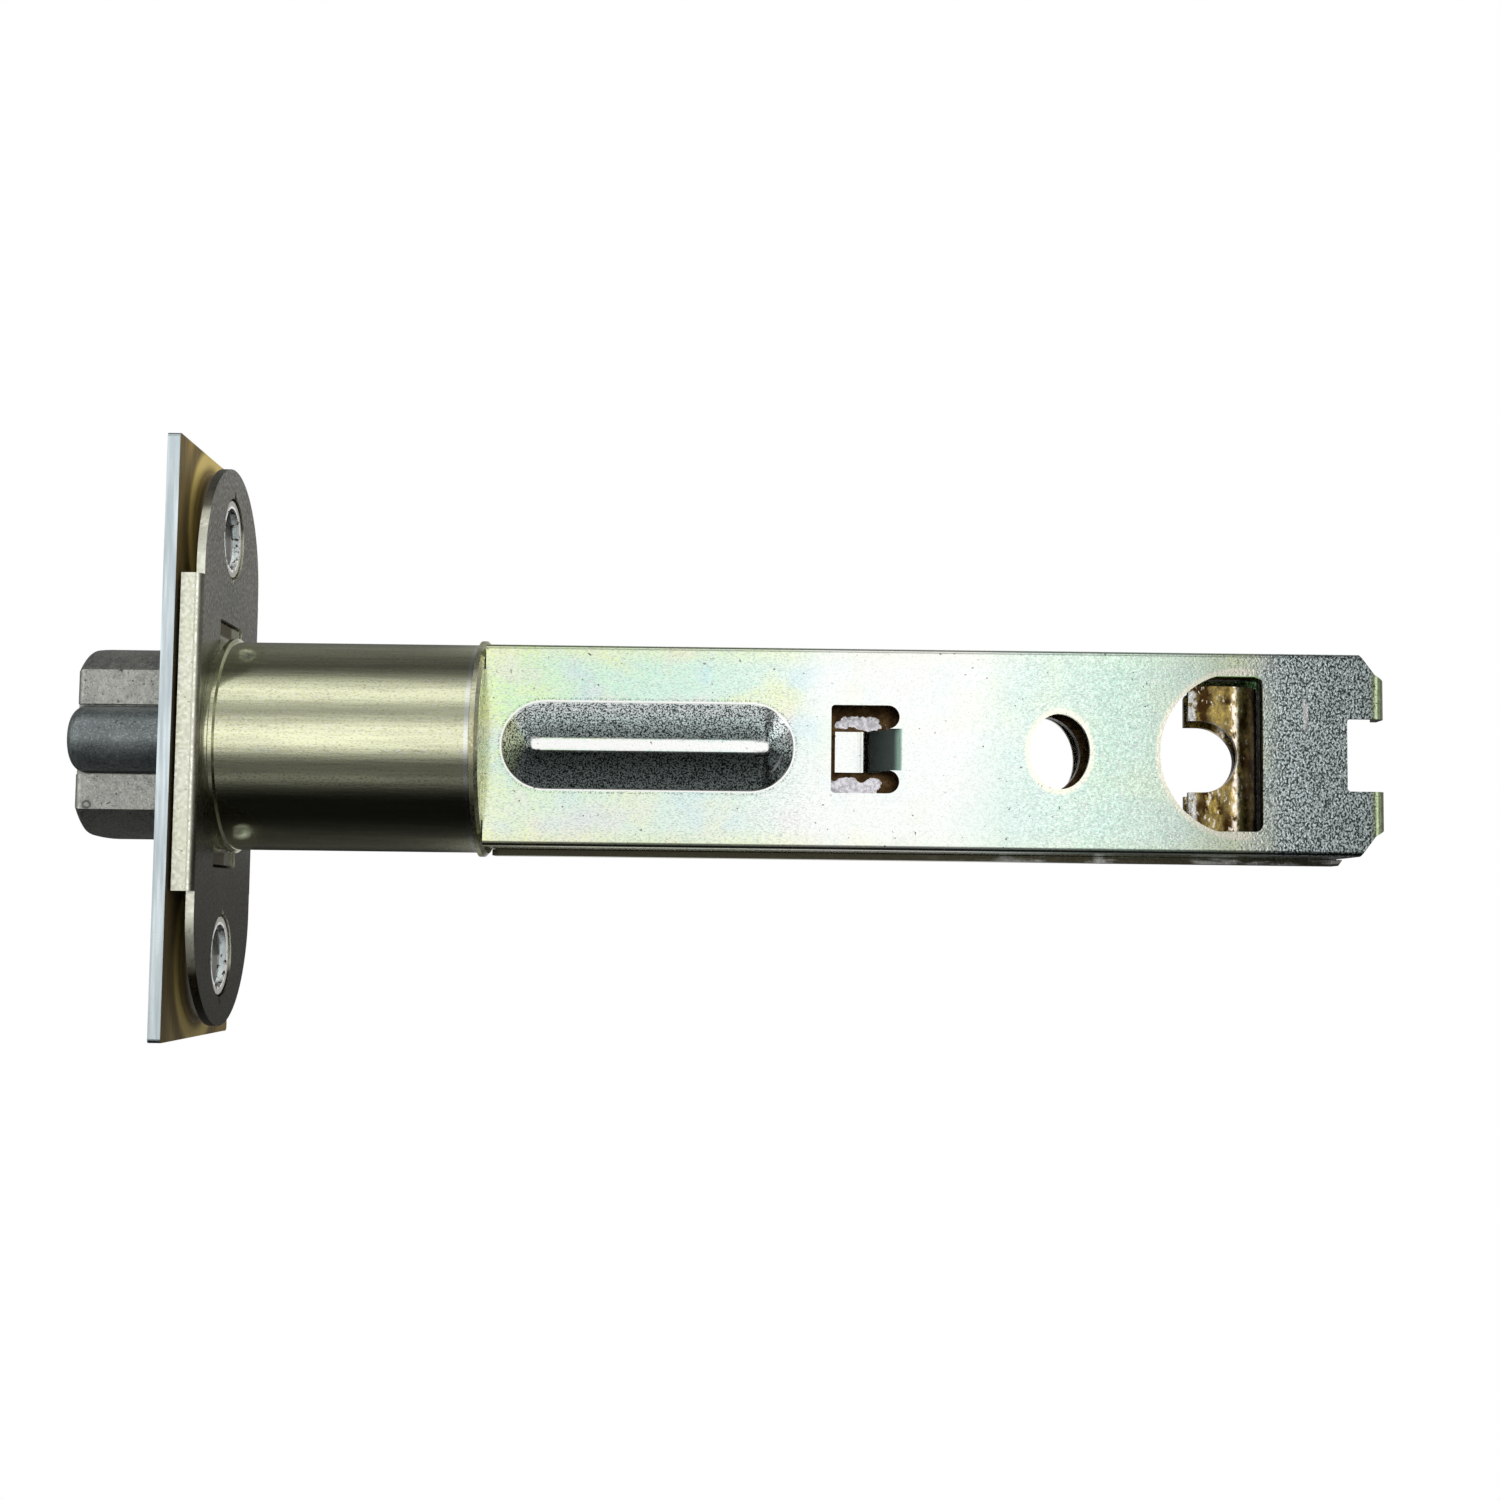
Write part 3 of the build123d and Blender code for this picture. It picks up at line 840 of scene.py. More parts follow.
    def slopes(self, coat: Coat, colour: Socket) -> Socket:
        """Painted shade on the bulge's slopes, darker towards the crest and lighter on the upper slope, and a
        painted highlight on the crest and at the rear end.

        Args:
            coat: The material's helper.
            colour: The colour below.

        Returns:
            The colour with its slopes.
        """
        reach = self.bulge_reach(coat)
        top = -self.slope_reach
        inside = coat.times(coat.fade(reach, -0.16, -0.08, 1.0, 0.0), coat.fade(reach, top, top + 0.15))
        depth = coat.fade(reach, top, 0.0, 0.30, 1.0)
        grain = coat.span(coat.noise(self.slope_scale, detail=2.0), 0.40, 0.60, 0.1, 1.7)
        side = coat.fade(coat.up(), -0.3, 0.3, 0.95, 1.5)
        # Painted shade on the slopes: darker towards the crest, lighter on the upper slope.
        dull = coat.dimmed(self.pressed, coat.times(coat.times(depth, grain), side))
        drift = coat.drift(coat.noise(self.crest_scale), 0.8 * MM)
        ragged = coat.maths("ADD", coat.height(), drift)
        # Painted highlight along the crest.
        crest = coat.times(coat.fade(ragged, 0.3, 0.75, 1.0, 0.0),
                           coat.stripe(coat.along(), self.crest_x, self.crest_half, 0.3))
        # Painted highlight at the bulge's lower rear end.
        low_end = coat.times(coat.stripe(coat.up(), -1.6, 0.6, 0.5), coat.fade(coat.along(), *self.glint_x))
        glint = coat.times(coat.stripe(reach, -1.1, 0.04, 0.12), low_end)
        return coat.layers(colour, (dull, inside), (self.white, crest), (self.white, glint))

    def tail(self, coat: Coat, colour: Socket) -> Socket:
        """Dark mottle, partly the zinc's spangle and partly painted shade, one light scratch, and a painted
        olive reflection on the bent ears at the tail.

        Args:
            coat: The material's helper.
            colour: The colour below.

        Returns:
            The colour with its tail.
        """
        along = coat.along()
        wavy = coat.maths("ADD", along, coat.drift(coat.noise(self.tail_scale), 5.0 * MM))
        start = coat.fade(wavy, self.tail_x - 2.2, self.tail_x + 2.4)
        # Dark mottle: partly the zinc's spangle, partly painted shade.
        mottle = coat.blend(self.coal, self.steel, coat.specks(self.tail_specks))
        line = coat.times(coat.stripe(along, self.scratch_x, 0.12, 0.25), coat.fade(coat.up(), 1.0, 4.0))
        scratch = coat.times(line, coat.specks(self.scratch_breaks))
        return coat.layers(
            colour,
            (mottle, coat.times(start, 0.95)),
            (self.white, scratch),
            # Painted olive reflection on the bent ears.
            (self.olive, coat.fade(along, *self.ear_x, 0.0, 0.85)),
        )

    def hidden_faces(self, coat: Coat, colour: Socket) -> Socket:
        """Green inside of the upper flange, painted shade and highlight on the lanced tab's slope, and
        painted shade with pale streaks on the outer flanges' cut edge below the web.

        Args:
            coat: The material's helper.
            colour: The colour below.

        Returns:
            The finished colour.
        """
        beyond = coat.fade(coat.height(), self.web_half + 0.005, self.web_half + 0.03)
        streaks = coat.times(coat.fade(coat.along(), *self.edge_streak_x), coat.specks(self.edge_streaks))
        # Painted shade on the cut edge below the web, with pale streaks.
        edge_shade = coat.blend(self.grease, self.white, streaks)
        return coat.layers(
            colour,
            (self.green, self.under_flange(coat)),
            # Painted shade and highlight on the lanced tab's slope.
            (coat.tints(coat.along(), self.tab_shade_and_highlight), self.tab_slope(coat)),
            (edge_shade, coat.times(coat.facing(Facing.NEAR), beyond)),
        )

    def under_flange(self, coat: Coat) -> Socket:
        """Share of the upper flange's inner side and of the cut edges below it."""
        above = coat.fade(coat.up(), *self.flange_z)
        return coat.times(coat.facing(Facing.DOWN, 0.6, 0.9), above)

    def tab_slope(self, coat: Coat) -> Socket:
        """Share of the lanced tab's slope.

        Args:
            coat: The material's helper.

        Returns:
            The share.
        """
        half_x, half_z = self.tab_half
        high = coat.fade(coat.height(), half_z, half_z + 0.03, 1.0, 0.0)
        return coat.times(coat.stripe(coat.along(), self.tab_x, half_x, 0.3), high)

    def surface(self, coat: Coat) -> None:
        """Set gloss, fine speckle and brushed lines along the case.

        Args:
            coat: The material's helper.
        """
        under = self.under_flange(coat)
        dull = coat.maths("MAXIMUM", under, self.tab_slope(coat))
        coat.wire(coat.span(under, 0.0, 1.0, self.metallic, 0.1), "Metallic")
        speckle = coat.noise(self.relief_scale)
        lines = coat.noise(self.grain_scale, self.grain.value)
        plain = coat.times(coat.maths("ADD", speckle, lines), self.plain_relief)
        coarse = coat.fade(coat.along(), self.tail_x - 4.0, self.tail_x + 1.0)
        pressed = coat.fade(self.bulge_reach(coat), -0.3, 0.0, 1.0, 0.0)
        rough_parts = coat.times(coat.times(coat.maths("MAXIMUM", coarse, pressed), speckle), 1.6)
        height = coat.maths("ADD", plain, rough_parts)
        rough = coat.maths("ADD", self.gloss(coat, speckle), coat.times(dull, 0.4))
        coat.wire(rough, "Roughness")
        coat.relief(height, self.relief, self.grain_depth)


@dataclass(frozen=True)
class CastFinish(MetalFinish):
    """Rough die casting with pale worn specks."""

    worn: Colour = (0.60, 0.60, 0.56)
    pit: Colour = (0.05, 0.05, 0.05)
    gate_x: float = -8.3
    gate_z: float = -6.3
    gate_half: Pair = (0.36, 0.32)
    worn_specks: Specks = Specks(5200.0, 0.50, 0.64, 0.75)
    pits: Specks = Specks(1900.0, 0.66, 0.74, 0.8, detail=2.0, shift=0.5)
    fine_pits: Specks = Specks(5200.0, 0.54, 0.68, 0.45, shift=0.8)
    cast_scale: float = 1500.0

    def tint(self, coat: Coat) -> Socket:
        """Mix the cast tones, worn specks, pits and the small round gate mark.

        Args:
            coat: The material's helper.

        Returns:
            The finished colour.
        """
        gate = coat.oval(coat.along(), coat.up(), (self.gate_x, self.gate_z), self.gate_half)
        ring = coat.times(coat.band(gate, 1.0, 0.15, 0.3), coat.facing(Facing.NEAR))
        return coat.layers(
            self.mottle(coat, self.colour, self.tone),
            (self.worn, coat.specks(self.worn_specks)),
            (self.pit, coat.maths("MAXIMUM", coat.specks(self.pits), coat.specks(self.fine_pits))),
            (self.pit, coat.times(ring, 0.7)),
        )

    def surface(self, coat: Coat) -> None:
        """Set a grainy cast surface.

        Args:
            coat: The material's helper.
        """
        coat.shader.inputs["Metallic"].default_value = self.metallic
        grains = coat.noise(self.cast_scale, detail=6.0)
        rough = coat.span(grains, 0.3, 0.7, self.roughness - 0.08, self.roughness + 0.12)
        coat.wire(rough, "Roughness")
        coat.relief(grains, self.relief, self.grain_depth)


@dataclass(frozen=True)
class SlideFinish(MetalFinish):
    """Greased bronze-coloured strap: brown streaks, sparkling specks, pale worn tips, a painted highlight on
    its bend and painted shade beyond it.
    """

    # Grease film; also painted shade beyond the bend.
    film: Colour = (0.07, 0.035, 0.01)
    spark: Colour = (0.98, 0.90, 0.74)
    worn: Colour = (0.78, 0.78, 0.74)
    glint: Colour = (1.0, 0.86, 0.74)
    tip_x: float = 98.6
    bend_x: float = 102.3
    near_y: Pair = (-3.0, -2.0)
    streaks: Specks = Specks(520.0, 0.40, 0.60, stretch=(1.0, 1.0, 0.7), detail=5.0)
    gold: Specks = Specks(900.0, 0.52, 0.66, 0.8, shift=0.4)
    sparks: Specks = Specks(2400.0, 0.62, 0.68, stretch=(1.0, 1.0, 0.6), shift=0.9)
    bend_breaks: Specks = Specks(1900.0, 0.40, 0.52, stretch=(1.0, 1.0, 0.5), shift=0.9)
    tip_breaks: Specks = Specks(1500.0, 0.36, 0.48, shift=0.2)

    def tint(self, coat: Coat) -> Socket:
        """Streak the film, scatter sparks, paint a highlight on the bend and shade beyond it, and bare the
        tips.

        Args:
            coat: The material's helper.

        Returns:
            The finished colour.
        """
        along = coat.along()
        bend = coat.times(coat.stripe(along, self.bend_x, 0.12, 0.4), coat.specks(self.bend_breaks))
        edge = coat.fade(along, self.tip_x - 0.3, self.tip_x, 1.0, 0.0)
        bare = coat.times(edge, coat.specks(self.tip_breaks))
        near = coat.fade(coat.across(), *self.near_y, 1.0, 0.0)
        return coat.layers(
            coat.blend(self.colour, self.film, coat.specks(self.streaks)),
            (self.tone, coat.specks(self.gold)),
            (self.spark, coat.specks(self.sparks)),
            # Painted shade where the strap bends away.
            (self.film, coat.fade(along, self.bend_x + 0.3, self.bend_x + 1.2, 0.0, 0.75)),
            # Painted highlight along the bend.
            (self.glint, coat.times(bend, 0.95)),
            (self.worn, coat.times(bare, near)),
        )


@dataclass(frozen=True)
class BarFinish(MetalFinish):
    """Link bar under dark grease, partly painted shade above its two bare patches, and black on its cut
    edges.
    """

    film: Colour = (0.055, 0.03, 0.012)
    film_tone: Colour = (0.12, 0.07, 0.03)
    black: Colour = (0.006, 0.005, 0.004)
    patches: tuple[tuple[Pair, Pair], ...] = (((65.6, 2.75), (2.9, 0.75)), ((65.4, -3.6), (2.7, 1.05)))
    ragged: float = 0.9
    glint_y: float = -0.25
    film_clouds: Specks = Specks(800.0, 0.4, 0.6)
    glint_breaks: Specks = Specks(1500.0, 0.46, 0.54, detail=2.0)
    edge_scale: float = 650.0

    def tint(self, coat: Coat) -> Socket:
        """Grease, partly painted shade above two ragged bare patches, and a broken painted glint on the cut
        edges.

        Args:
            coat: The material's helper.

        Returns:
            The finished colour.
        """
        colour = coat.blend(self.film, self.film_tone, coat.specks(self.film_clouds))
        along, up = coat.along(), coat.up()
        drift = coat.drift(coat.noise(self.edge_scale, detail=5.0), self.ragged * 3.0)
        # The grease left above each bare patch is partly painted shade.
        for centre, half in self.patches:
            reach = coat.oval(along, up, centre, half)
            bare = coat.span(coat.maths("ADD", reach, drift), 0.96, 1.04, 1.0, 0.0)
            colour = coat.blend(colour, self.colour, bare)
        flat = coat.maths("ADD", coat.facing(Facing.NEAR), coat.facing(Facing.FAR))
        edge = coat.blend(self.film, self.black, coat.facing(Facing.BOLT, 0.2, 0.5))
        # Painted highlight, broken, along the cut edges.
        glint = coat.stripe(coat.across(), self.glint_y, 0.09, 0.12)
        edge = coat.blend(edge, self.tone, coat.times(glint, coat.specks(self.glint_breaks)))
        return coat.blend(edge, colour, flat)


FACEPLATE_FINISH = FaceplateFinish(
    name="bronzed_plate", colour=(0.82, 0.92, 0.95), tone=(0.68, 0.78, 0.82), roughness=0.34, patch=120.0,
    grain=Grain.UPRIGHT,
)
BACKING_FINISH = BackingFinish(
    name="zinc_backing", colour=(1.0, 1.0, 0.86), tone=(0.96, 0.98, 0.78), roughness=0.36, patch=160.0,
    grain_scale=2600.0, grain_depth=3.0e-6,
)
TUBE_FINISH = TubeFinish(
    name="tube_steel", colour=(0.92, 0.95, 0.63), tone=(0.74, 0.75, 0.51), roughness=0.14,
    roughness_swing=0.05, grain=Grain.ALONG, grain_scale=3400.0, grain_depth=9.0e-6, relief=1.0, patch=900.0,
)
CAP_FINISH = MetalFinish(
    name="zinc_cream", colour=(0.90, 0.90, 0.66), tone=(0.60, 0.58, 0.36), roughness=0.32, patch=400.0,
)
CASE_FINISH = CaseFinish(
    name="zinc_case", colour=(0.90, 0.92, 0.88), tone=(0.8, 0.84, 0.8), roughness=0.16, roughness_swing=0.05,
    grain=Grain.ALONG, grain_scale=5200.0, grain_depth=9.0e-6, relief=1.0,
)
BOLT_FINISH = CastFinish(
    name="cast_bolt", colour=(0.36, 0.37, 0.34), tone=(0.48, 0.48, 0.44), roughness=0.38, metallic=0.95,
    grain_depth=1.6e-5, relief=0.5, patch=300.0,
)
PLUNGER_FINISH = CastFinish(
    name="cast_plunger", colour=(0.19, 0.22, 0.22), tone=(0.25, 0.28, 0.28), worn=(0.38, 0.41, 0.41),
    roughness=0.38, metallic=0.9, grain_depth=8.0e-6, relief=0.4, patch=260.0, gate_z=-30.0,
)
STEEL_FINISH = MetalFinish(
    name="bright_steel", colour=(0.62, 0.62, 0.60), tone=(0.5, 0.5, 0.5), roughness=0.28, grain=Grain.ALONG,
)
BAR_FINISH = BarFinish(
    name="bar_steel", colour=(0.84, 0.82, 0.86), tone=(0.90, 0.90, 0.90), roughness=0.32, patch=300.0,
)
SLIDE_FINISH = SlideFinish(
    name="slide_bronze", colour=(0.44, 0.33, 0.12), tone=(0.66, 0.48, 0.14), roughness=0.24,
    roughness_swing=0.1, grain_scale=1800.0, grain_depth=4.0e-5, relief=0.9, patch=400.0,
)
WIRE_FINISH = MetalFinish(
    name="spring_wire", colour=(0.40, 0.39, 0.36), tone=(0.28, 0.27, 0.25), roughness=0.3, patch=600.0,
)


def material_of(finish: MetalFinish) -> bpy.types.Material:
    """Build a finish's material once and keep it.

    Args:
        finish: The finish.

    Returns:
        Its material.
    """
    if finish.name not in MADE:
        MADE[finish.name] = finish.material()
    return MADE[finish.name]


def add_object(name: str, data: bpy.types.ID) -> bpy.types.Object:
    """Add an object to the scene.

    Args:
        name: The object's name.
        data: Its mesh, lamp or camera.

    Returns:
        The object.
    """
    added = bpy.data.objects.new(name, data)
    bpy.context.scene.collection.objects.link(added)
    return added


def dress(node: str, finish: MetalFinish, crease: float = 32.0) -> None:
    """Give a CAD node its finish and smooth shading between creases.

    Args:
        node: The node's name.
        finish: Its finish.
        crease: Angle in degrees above which an edge stays sharp.
    """
    piece = FRAME["nodes"][node]
    piece.data.materials.clear()
    piece.data.materials.append(material_of(finish))
    piece.data.shade_smooth()
    piece.data.set_sharp_from_angle(angle=math.radians(crease))
    LOG.info("dressed %s with %s", node, finish.name)


Dressing = tuple[tuple[str, MetalFinish], ...]


@dataclass(frozen=True)
class DressedSet:
    """CAD pieces that stay as they are and take a finish each."""

    finishes: Dressing

    def build(self) -> None:
        """Dress the pieces."""
        for node, finish in self.finishes:
            dress(node, finish)


@dataclass(frozen=True)
class PlateSet(DressedSet):
    """Faceplate and the mounting plate behind it."""

    finishes: Dressing = (("faceplate", FACEPLATE_FINISH), ("mounting_plate", BACKING_FINISH))


@dataclass(frozen=True)
class TubeSet(DressedSet):
    """Tube and its crimped end cap."""

    finishes: Dressing = (("latch_tube", TUBE_FINISH), ("tube_end_cap", CAP_FINISH))


@dataclass(frozen=True)
class CaseSet(DressedSet):
    """Two folded halves of the case."""

    finishes: Dressing = (("case_near_half", CASE_FINISH), ("case_far_half", CASE_FINISH))


@dataclass(frozen=True)
class BoltSet(DressedSet):
    """Bolt, its cross pin and the link bar, which travel together."""

    finishes: Dressing = (("latch_bolt", BOLT_FINISH), ("bolt_pin", STEEL_FINISH), ("link_bar", BAR_FINISH))


@dataclass(frozen=True)
class DeadlockSet(DressedSet):
    """Plunger with its rod, and the pawl with its pin."""

    finishes: Dressing = (
        ("plunger", PLUNGER_FINISH), ("plunger_rod", STEEL_FINISH), ("deadlock_pawl", STEEL_FINISH),
        ("pawl_pin", STEEL_FINISH),
    )


@dataclass(frozen=True)
class SlideSet(DressedSet):
    """Retractor slide in the D-shaped hole."""

    finishes: Dressing = (("retractor_slide", SLIDE_FINISH),)


@dataclass(frozen=True)
class CoilSpring:
    """Smooth round-wire coil in place of a CAD coil; sizes in millimetres."""

    node: str
    start: Place
    length: float
    outer_r: float
    wire: float
    turns: float
    upright: bool = False
    travel: Travel | None = None
    stroke: float = 9.5
    around: int = 12
    steps: int = 32

    def build(self) -> None:
        """Wind the coil, hang it on the case and give it a mesh of its own if it has a travel joint."""
        mesh = bpy.data.meshes.new(f"{self.node}_wire")
        mesh.from_pydata(self.points(), [], self.faces())
        mesh.materials.append(material_of(WIRE_FINISH))
        mesh.shade_smooth()
        coil = add_object(f"{self.node}_wire", mesh)
        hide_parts(self.node)
        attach(coil, "case")
        if self.travel is not None:
            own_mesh(coil)
        LOG.info("wound %s", self.node)

    def rows(self) -> int:
        """Number of rings of points along the wire."""
        return round(self.turns * self.steps) + 1

    def points(self) -> list[Vector]:
        """Points of the wire's surface, ring by ring.

        Returns:
            The points in metres.
        """
        mean_r = self.outer_r - self.wire / 2
        found = []
        for row in range(self.rows()):
            share = row / (self.rows() - 1)
            turn = share * self.turns * math.tau
            out = Vector((0.0, math.cos(turn), math.sin(turn)))
            for step in range(self.around):
                angle = step / self.around * math.tau
                reach = mean_r + self.wire / 2 * math.cos(angle)
                along = share * self.length + self.wire / 2 * math.sin(angle)
                found.append(self.placed(out * reach + Vector((along, 0.0, 0.0))))
        return found

    def placed(self, point: Vector) -> Vector:
        """Turn a point of a coil along X into the latch's frame.

        Args:
            point: The point in millimetres, from the coil's start.

        Returns:
            The point in metres.
        """
        if self.upright:
            point = Vector((point.y, point.x, point.z))
        return (point + Vector(self.start)) * MM

    def faces(self) -> list[tuple[int, ...]]:
        """Faces between neighbouring rings, and both ends.

        Returns:
            The faces by point number.
        """
        found = []
        for row in range(self.rows() - 1):
            for step in range(self.around):
                here = row * self.around + step
                beside = row * self.around + (step + 1) % self.around
                found.append((here, beside, beside + self.around, here + self.around))
        last = (self.rows() - 1) * self.around
        found.append(tuple(reversed(range(self.around))))
        found.append(tuple(range(last, last + self.around)))
        return found


@dataclass
class SpringSet:
    """Coil springs of bolt, plunger and pawl; sizes in millimetres."""

    coils: tuple[CoilSpring, ...] = (
        CoilSpring("bolt_spring", (34.3, 0.0, 0.0), length=22.0, outer_r=6.0, wire=1.1, turns=9,
                   travel=Travel.BOLT),
        CoilSpring("plunger_spring", (12.4, -7.6, 0.0), length=15.9, outer_r=1.7, wire=0.4, turns=10,
                   travel=Travel.PLUNGER),
        CoilSpring("pawl_spring", (26.9, 2.9, 6.1), length=1.9, outer_r=1.4, wire=0.4, turns=3, upright=True),
    )

    def build(self) -> None:
        """Wind the springs."""
        for coil in self.coils:
            coil.build()


@dataclass(frozen=True)
class Lamp:
    """Soft lamp that looks at the latch; places in metres."""

    name: str
    place: Place
    watts: float
    size: float = 0.6
    aim: Place = (0.05, 0.0, 0.0)

    def build(self) -> None:
        """Hang the lamp out of sight of reflections."""
        data = bpy.data.lights.new(self.name, "AREA")
        data.size = self.size
        data.energy = self.watts
        lamp = add_object(self.name, data)
        lamp.location = self.place
        ahead = Vector(self.aim) - Vector(self.place)
        lamp.rotation_euler = ahead.to_track_quat("-Z", "Y").to_euler()
        lamp.visible_glossy = False


@dataclass
class Studio:
    """Pale floor, white ground, a tent of light and shade, soft lamps and the camera.

    The tent's ramps pair an angle in degrees (heights) or a sine along X (front and back) with a level.
    """

    floor_z: float = -0.3
    floor_half: float = 2.5
    floor_back: float = 0.8
    floor_tone: Colour = (0.93, 0.93, 0.93)
    floor_rough: float = 0.9
    floor_glow: float = 0.6
    ground_light: Colour = (0.5, 0.5, 0.5)
    white: Colour = (1.0, 1.0, 1.0)
    tent_r: float = 4.0
    tent_steps: int = 24
    tent_power: float = 1.69
    lens: float = 52.36
    sensor: float = 36.0
    camera_place: Place = (0.055865, -0.214979, -0.017011)
    yaw: float = -0.003292
    pitch: float = -0.080058
    roll: float = 0.012774
    heights: tuple[Pair, ...] = (
        (-180.0, 0.05), (-172.0, 0.04), (-147.0, 0.12), (-120.0, 0.08), (-101.0, 0.035), (-88.0, 0.006),
        (-62.0, 0.006), (-50.0, 0.035), (-44.0, 0.13), (-39.0, 0.24), (-33.0, 0.13), (-21.0, 0.12),
        (-13.0, 0.40), (-7.4, 0.80), (-3.4, 1.12), (3.0, 1.28), (14.0, 1.30), (18.6, 1.16), (23.0, 0.92),
        (32.0, 0.52), (41.0, 0.50), (51.0, 1.10), (61.0, 1.18), (72.0, 0.66), (79.0, 0.32), (84.0, 0.17),
        (93.0, 0.17), (138.6, 0.42), (162.0, 0.30), (169.0, 0.58), (175.0, 0.28), (180.0, 0.05),
    )
    front: tuple[Pair, ...] = (
        (-1.0, 0.65), (-0.94, 0.75), (-0.85, 1.0), (-0.7, 0.92), (-0.45, 0.44), (-0.3, 0.56), (-0.2, 0.66),
        (-0.12, 0.60), (-0.05, 0.57), (0.0, 0.60), (0.03, 0.68), (0.08, 0.68), (0.11, 0.64), (0.133, 0.69),
        (0.16, 0.80), (0.18, 0.88), (0.20, 0.86), (0.214, 0.45), (0.228, 0.145), (0.42, 0.13), (0.5, 0.80),
        (0.6, 1.0), (0.74, 1.0), (0.82, 0.25), (0.88, 0.22), (1.0, 0.5),
    )
    back: tuple[Pair, ...] = (
        (-1.0, 0.60), (-0.6, 0.24), (-0.2, 0.30), (0.0, 0.32), (0.24, 0.70), (1.0, 0.6),
    )
    rear: Colour = (0.34, 0.34, 0.34)
    rear_angle: Pair = (112.0, 140.0)
    rear_band: Place = (0.02, 0.09, 0.07)
    lamps: tuple[Lamp, ...] = (
        Lamp("key", (-0.10, -0.45, 0.55), watts=7.0), Lamp("fill", (0.35, 0.45, 0.35), watts=4.0),
    )

    def build(self) -> None:
        """Set up floor, ground, tent, lamps and camera."""
        self.build_floor()
        self.build_ground()
        self.build_tent()
        for lamp in self.lamps:
            lamp.build()
        self.build_camera()
        bpy.context.scene.view_settings.view_transform = "Standard"

    def build_floor(self) -> None:
        """Lay a pale floor that keeps the shadow."""
        half, back = self.floor_half, self.floor_back
        mesh = bpy.data.meshes.new("floor")
        corners = ((-half, -half), (half, -half), (half, back), (-half, back))
        mesh.from_pydata([(*corner, self.floor_z) for corner in corners], [], [(0, 1, 2, 3)])
        floor = add_object("floor", mesh)
        floor.visible_glossy = False
        coat = Coat("floor")
        coat.shader.inputs["Base Color"].default_value = (*self.floor_tone, 1.0)
        coat.shader.inputs["Roughness"].default_value = self.floor_rough
        glow = coat.node("ShaderNodeEmission")
        share = coat.times(coat.seen_rays(), self.floor_glow)
        coat.show(coat.shader.outputs["BSDF"], glow.outputs["Emission"], share)
        mesh.materials.append(coat.material)

    def build_ground(self) -> None:
        """Make the world white where it is seen and dim where it lights."""
        world = bpy.data.worlds.new("ground")
        bpy.context.scene.world = world
        ground = NodeTree(world, "ShaderNodeOutputWorld")
        glows = []
        for tone in (self.ground_light, self.white):
            glow = ground.node("ShaderNodeBackground")
            glow.inputs["Color"].default_value = (*tone, 1.0)
            glows.append(glow.outputs["Background"])
        ground.show(*glows, ground.seen_rays())

    def build_tent(self) -> None:
        """Hang a round tent that lights the latch and gives its metal bright and dark bands."""
        mesh = bpy.data.meshes.new("tent")
        shape = bmesh.new()
        steps = self.tent_steps
        bmesh.ops.create_uvsphere(shape, u_segments=2 * steps, v_segments=steps, radius=self.tent_r)
        shape.to_mesh(mesh)
        shape.free()
        tent = add_object("tent", mesh)
        tent.visible_camera = False
        tent.visible_shadow = False
        mesh.materials.append(self.tent_material())

    def tent_material(self) -> bpy.types.Material:
        """Glow that changes with height and from side to side.

        Returns:
            The tent's material.
        """
        coat = Coat("tent")
        coat.material.cycles.emission_sampling = "NONE"
        coordinate = coat.node("ShaderNodeTexCoord")
        unit = coat.node("ShaderNodeVectorMath")
        unit.operation = "NORMALIZE"
        coat.join(coordinate.outputs["Object"], unit.inputs[0])
        split = coat.node("ShaderNodeSeparateXYZ")
        coat.join(unit.outputs["Vector"], split.inputs["Vector"])
        towards = coat.times(split.outputs["Y"], -1.0)
        angle = coat.maths("ARCTAN2", split.outputs["Z"], towards)
        peak = max(level for _, level in self.heights)
        heights = [(math.radians(degrees), level / peak) for degrees, level in self.heights]
        high = coat.ramp(angle, self.greys(heights))
        ahead = coat.ramp(split.outputs["X"], self.greys(self.front))
        behind = coat.ramp(split.outputs["X"], self.greys(self.back))
        side = coat.blend(behind, ahead, coat.span(towards, -0.06, 0.06))
        both = coat.blend(high, side, 1.0, "MULTIPLY")
        low, top = (math.radians(degrees) for degrees in self.rear_angle)
        away = coat.span(coat.maths("ABSOLUTE", angle), low, top)
        patch = coat.times(away, coat.band(split.outputs["X"], *self.rear_band))
        glow = coat.node("ShaderNodeEmission")
        glow.inputs["Strength"].default_value = self.tent_power
        coat.join(coat.blend(both, self.rear, patch), glow.inputs["Color"])
        coat.join(glow.outputs["Emission"], coat.output.inputs["Surface"])
        return coat.material

    @staticmethod
    def greys(levels: Sequence[Pair]) -> Stops:
        """Grey tints for a ramp."""
        return [(place, (level, level, level)) for place, level in levels]

    def build_camera(self) -> None:
        """Stand the camera where the photograph was taken."""
        data = bpy.data.cameras.new("camera")
        data.lens = self.lens
        data.sensor_width = self.sensor
        data.clip_start = 0.01
        camera = add_object("camera", data)
        turn = Matrix.Rotation(self.roll, 3, "Y") @ Matrix.Rotation(self.pitch, 3, "X")
        turn = turn @ Matrix.Rotation(self.yaw, 3, "Z")
        to_world = turn.transposed()
        right, ahead, up = (to_world @ Vector(axis) for axis in ((1, 0, 0), (0, 1, 0), (0, 0, 1)))
        axes = Matrix((right, up, -ahead)).transposed()
        camera.matrix_world = Matrix.Translation(Vector(self.camera_place)) @ axes.to_4x4()
        bpy.context.scene.camera = camera


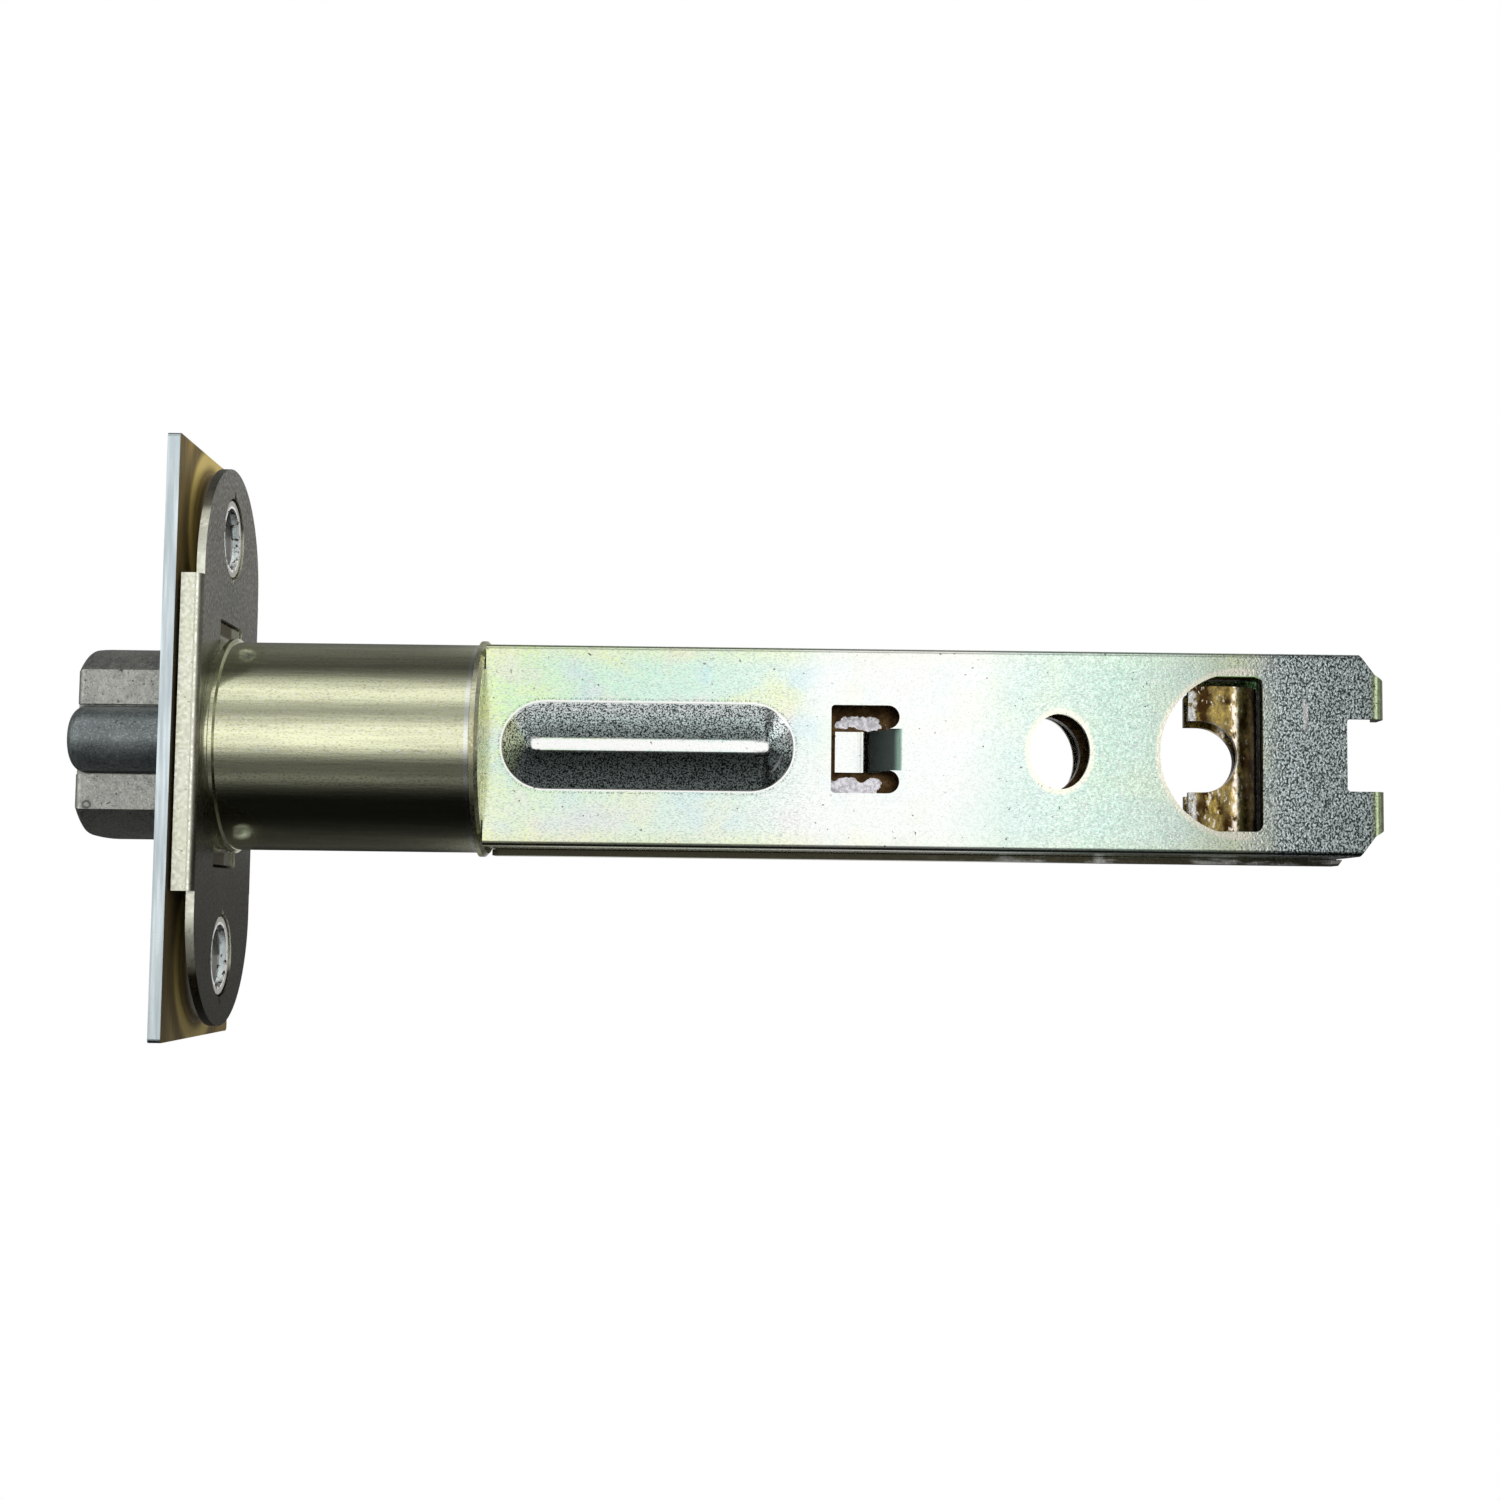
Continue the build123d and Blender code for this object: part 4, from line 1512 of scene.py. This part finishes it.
def main() -> None:
    """Dress the pieces in order and set the scene."""
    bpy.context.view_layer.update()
    for group in (PlateSet, TubeSet, CaseSet, BoltSet, DeadlockSet, SlideSet, SpringSet, Studio):
        group().build()
        LOG.info("finished %s", group.__name__)


if __name__ == "__main__":
    logging.basicConfig(level=logging.INFO)
    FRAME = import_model()
    main()
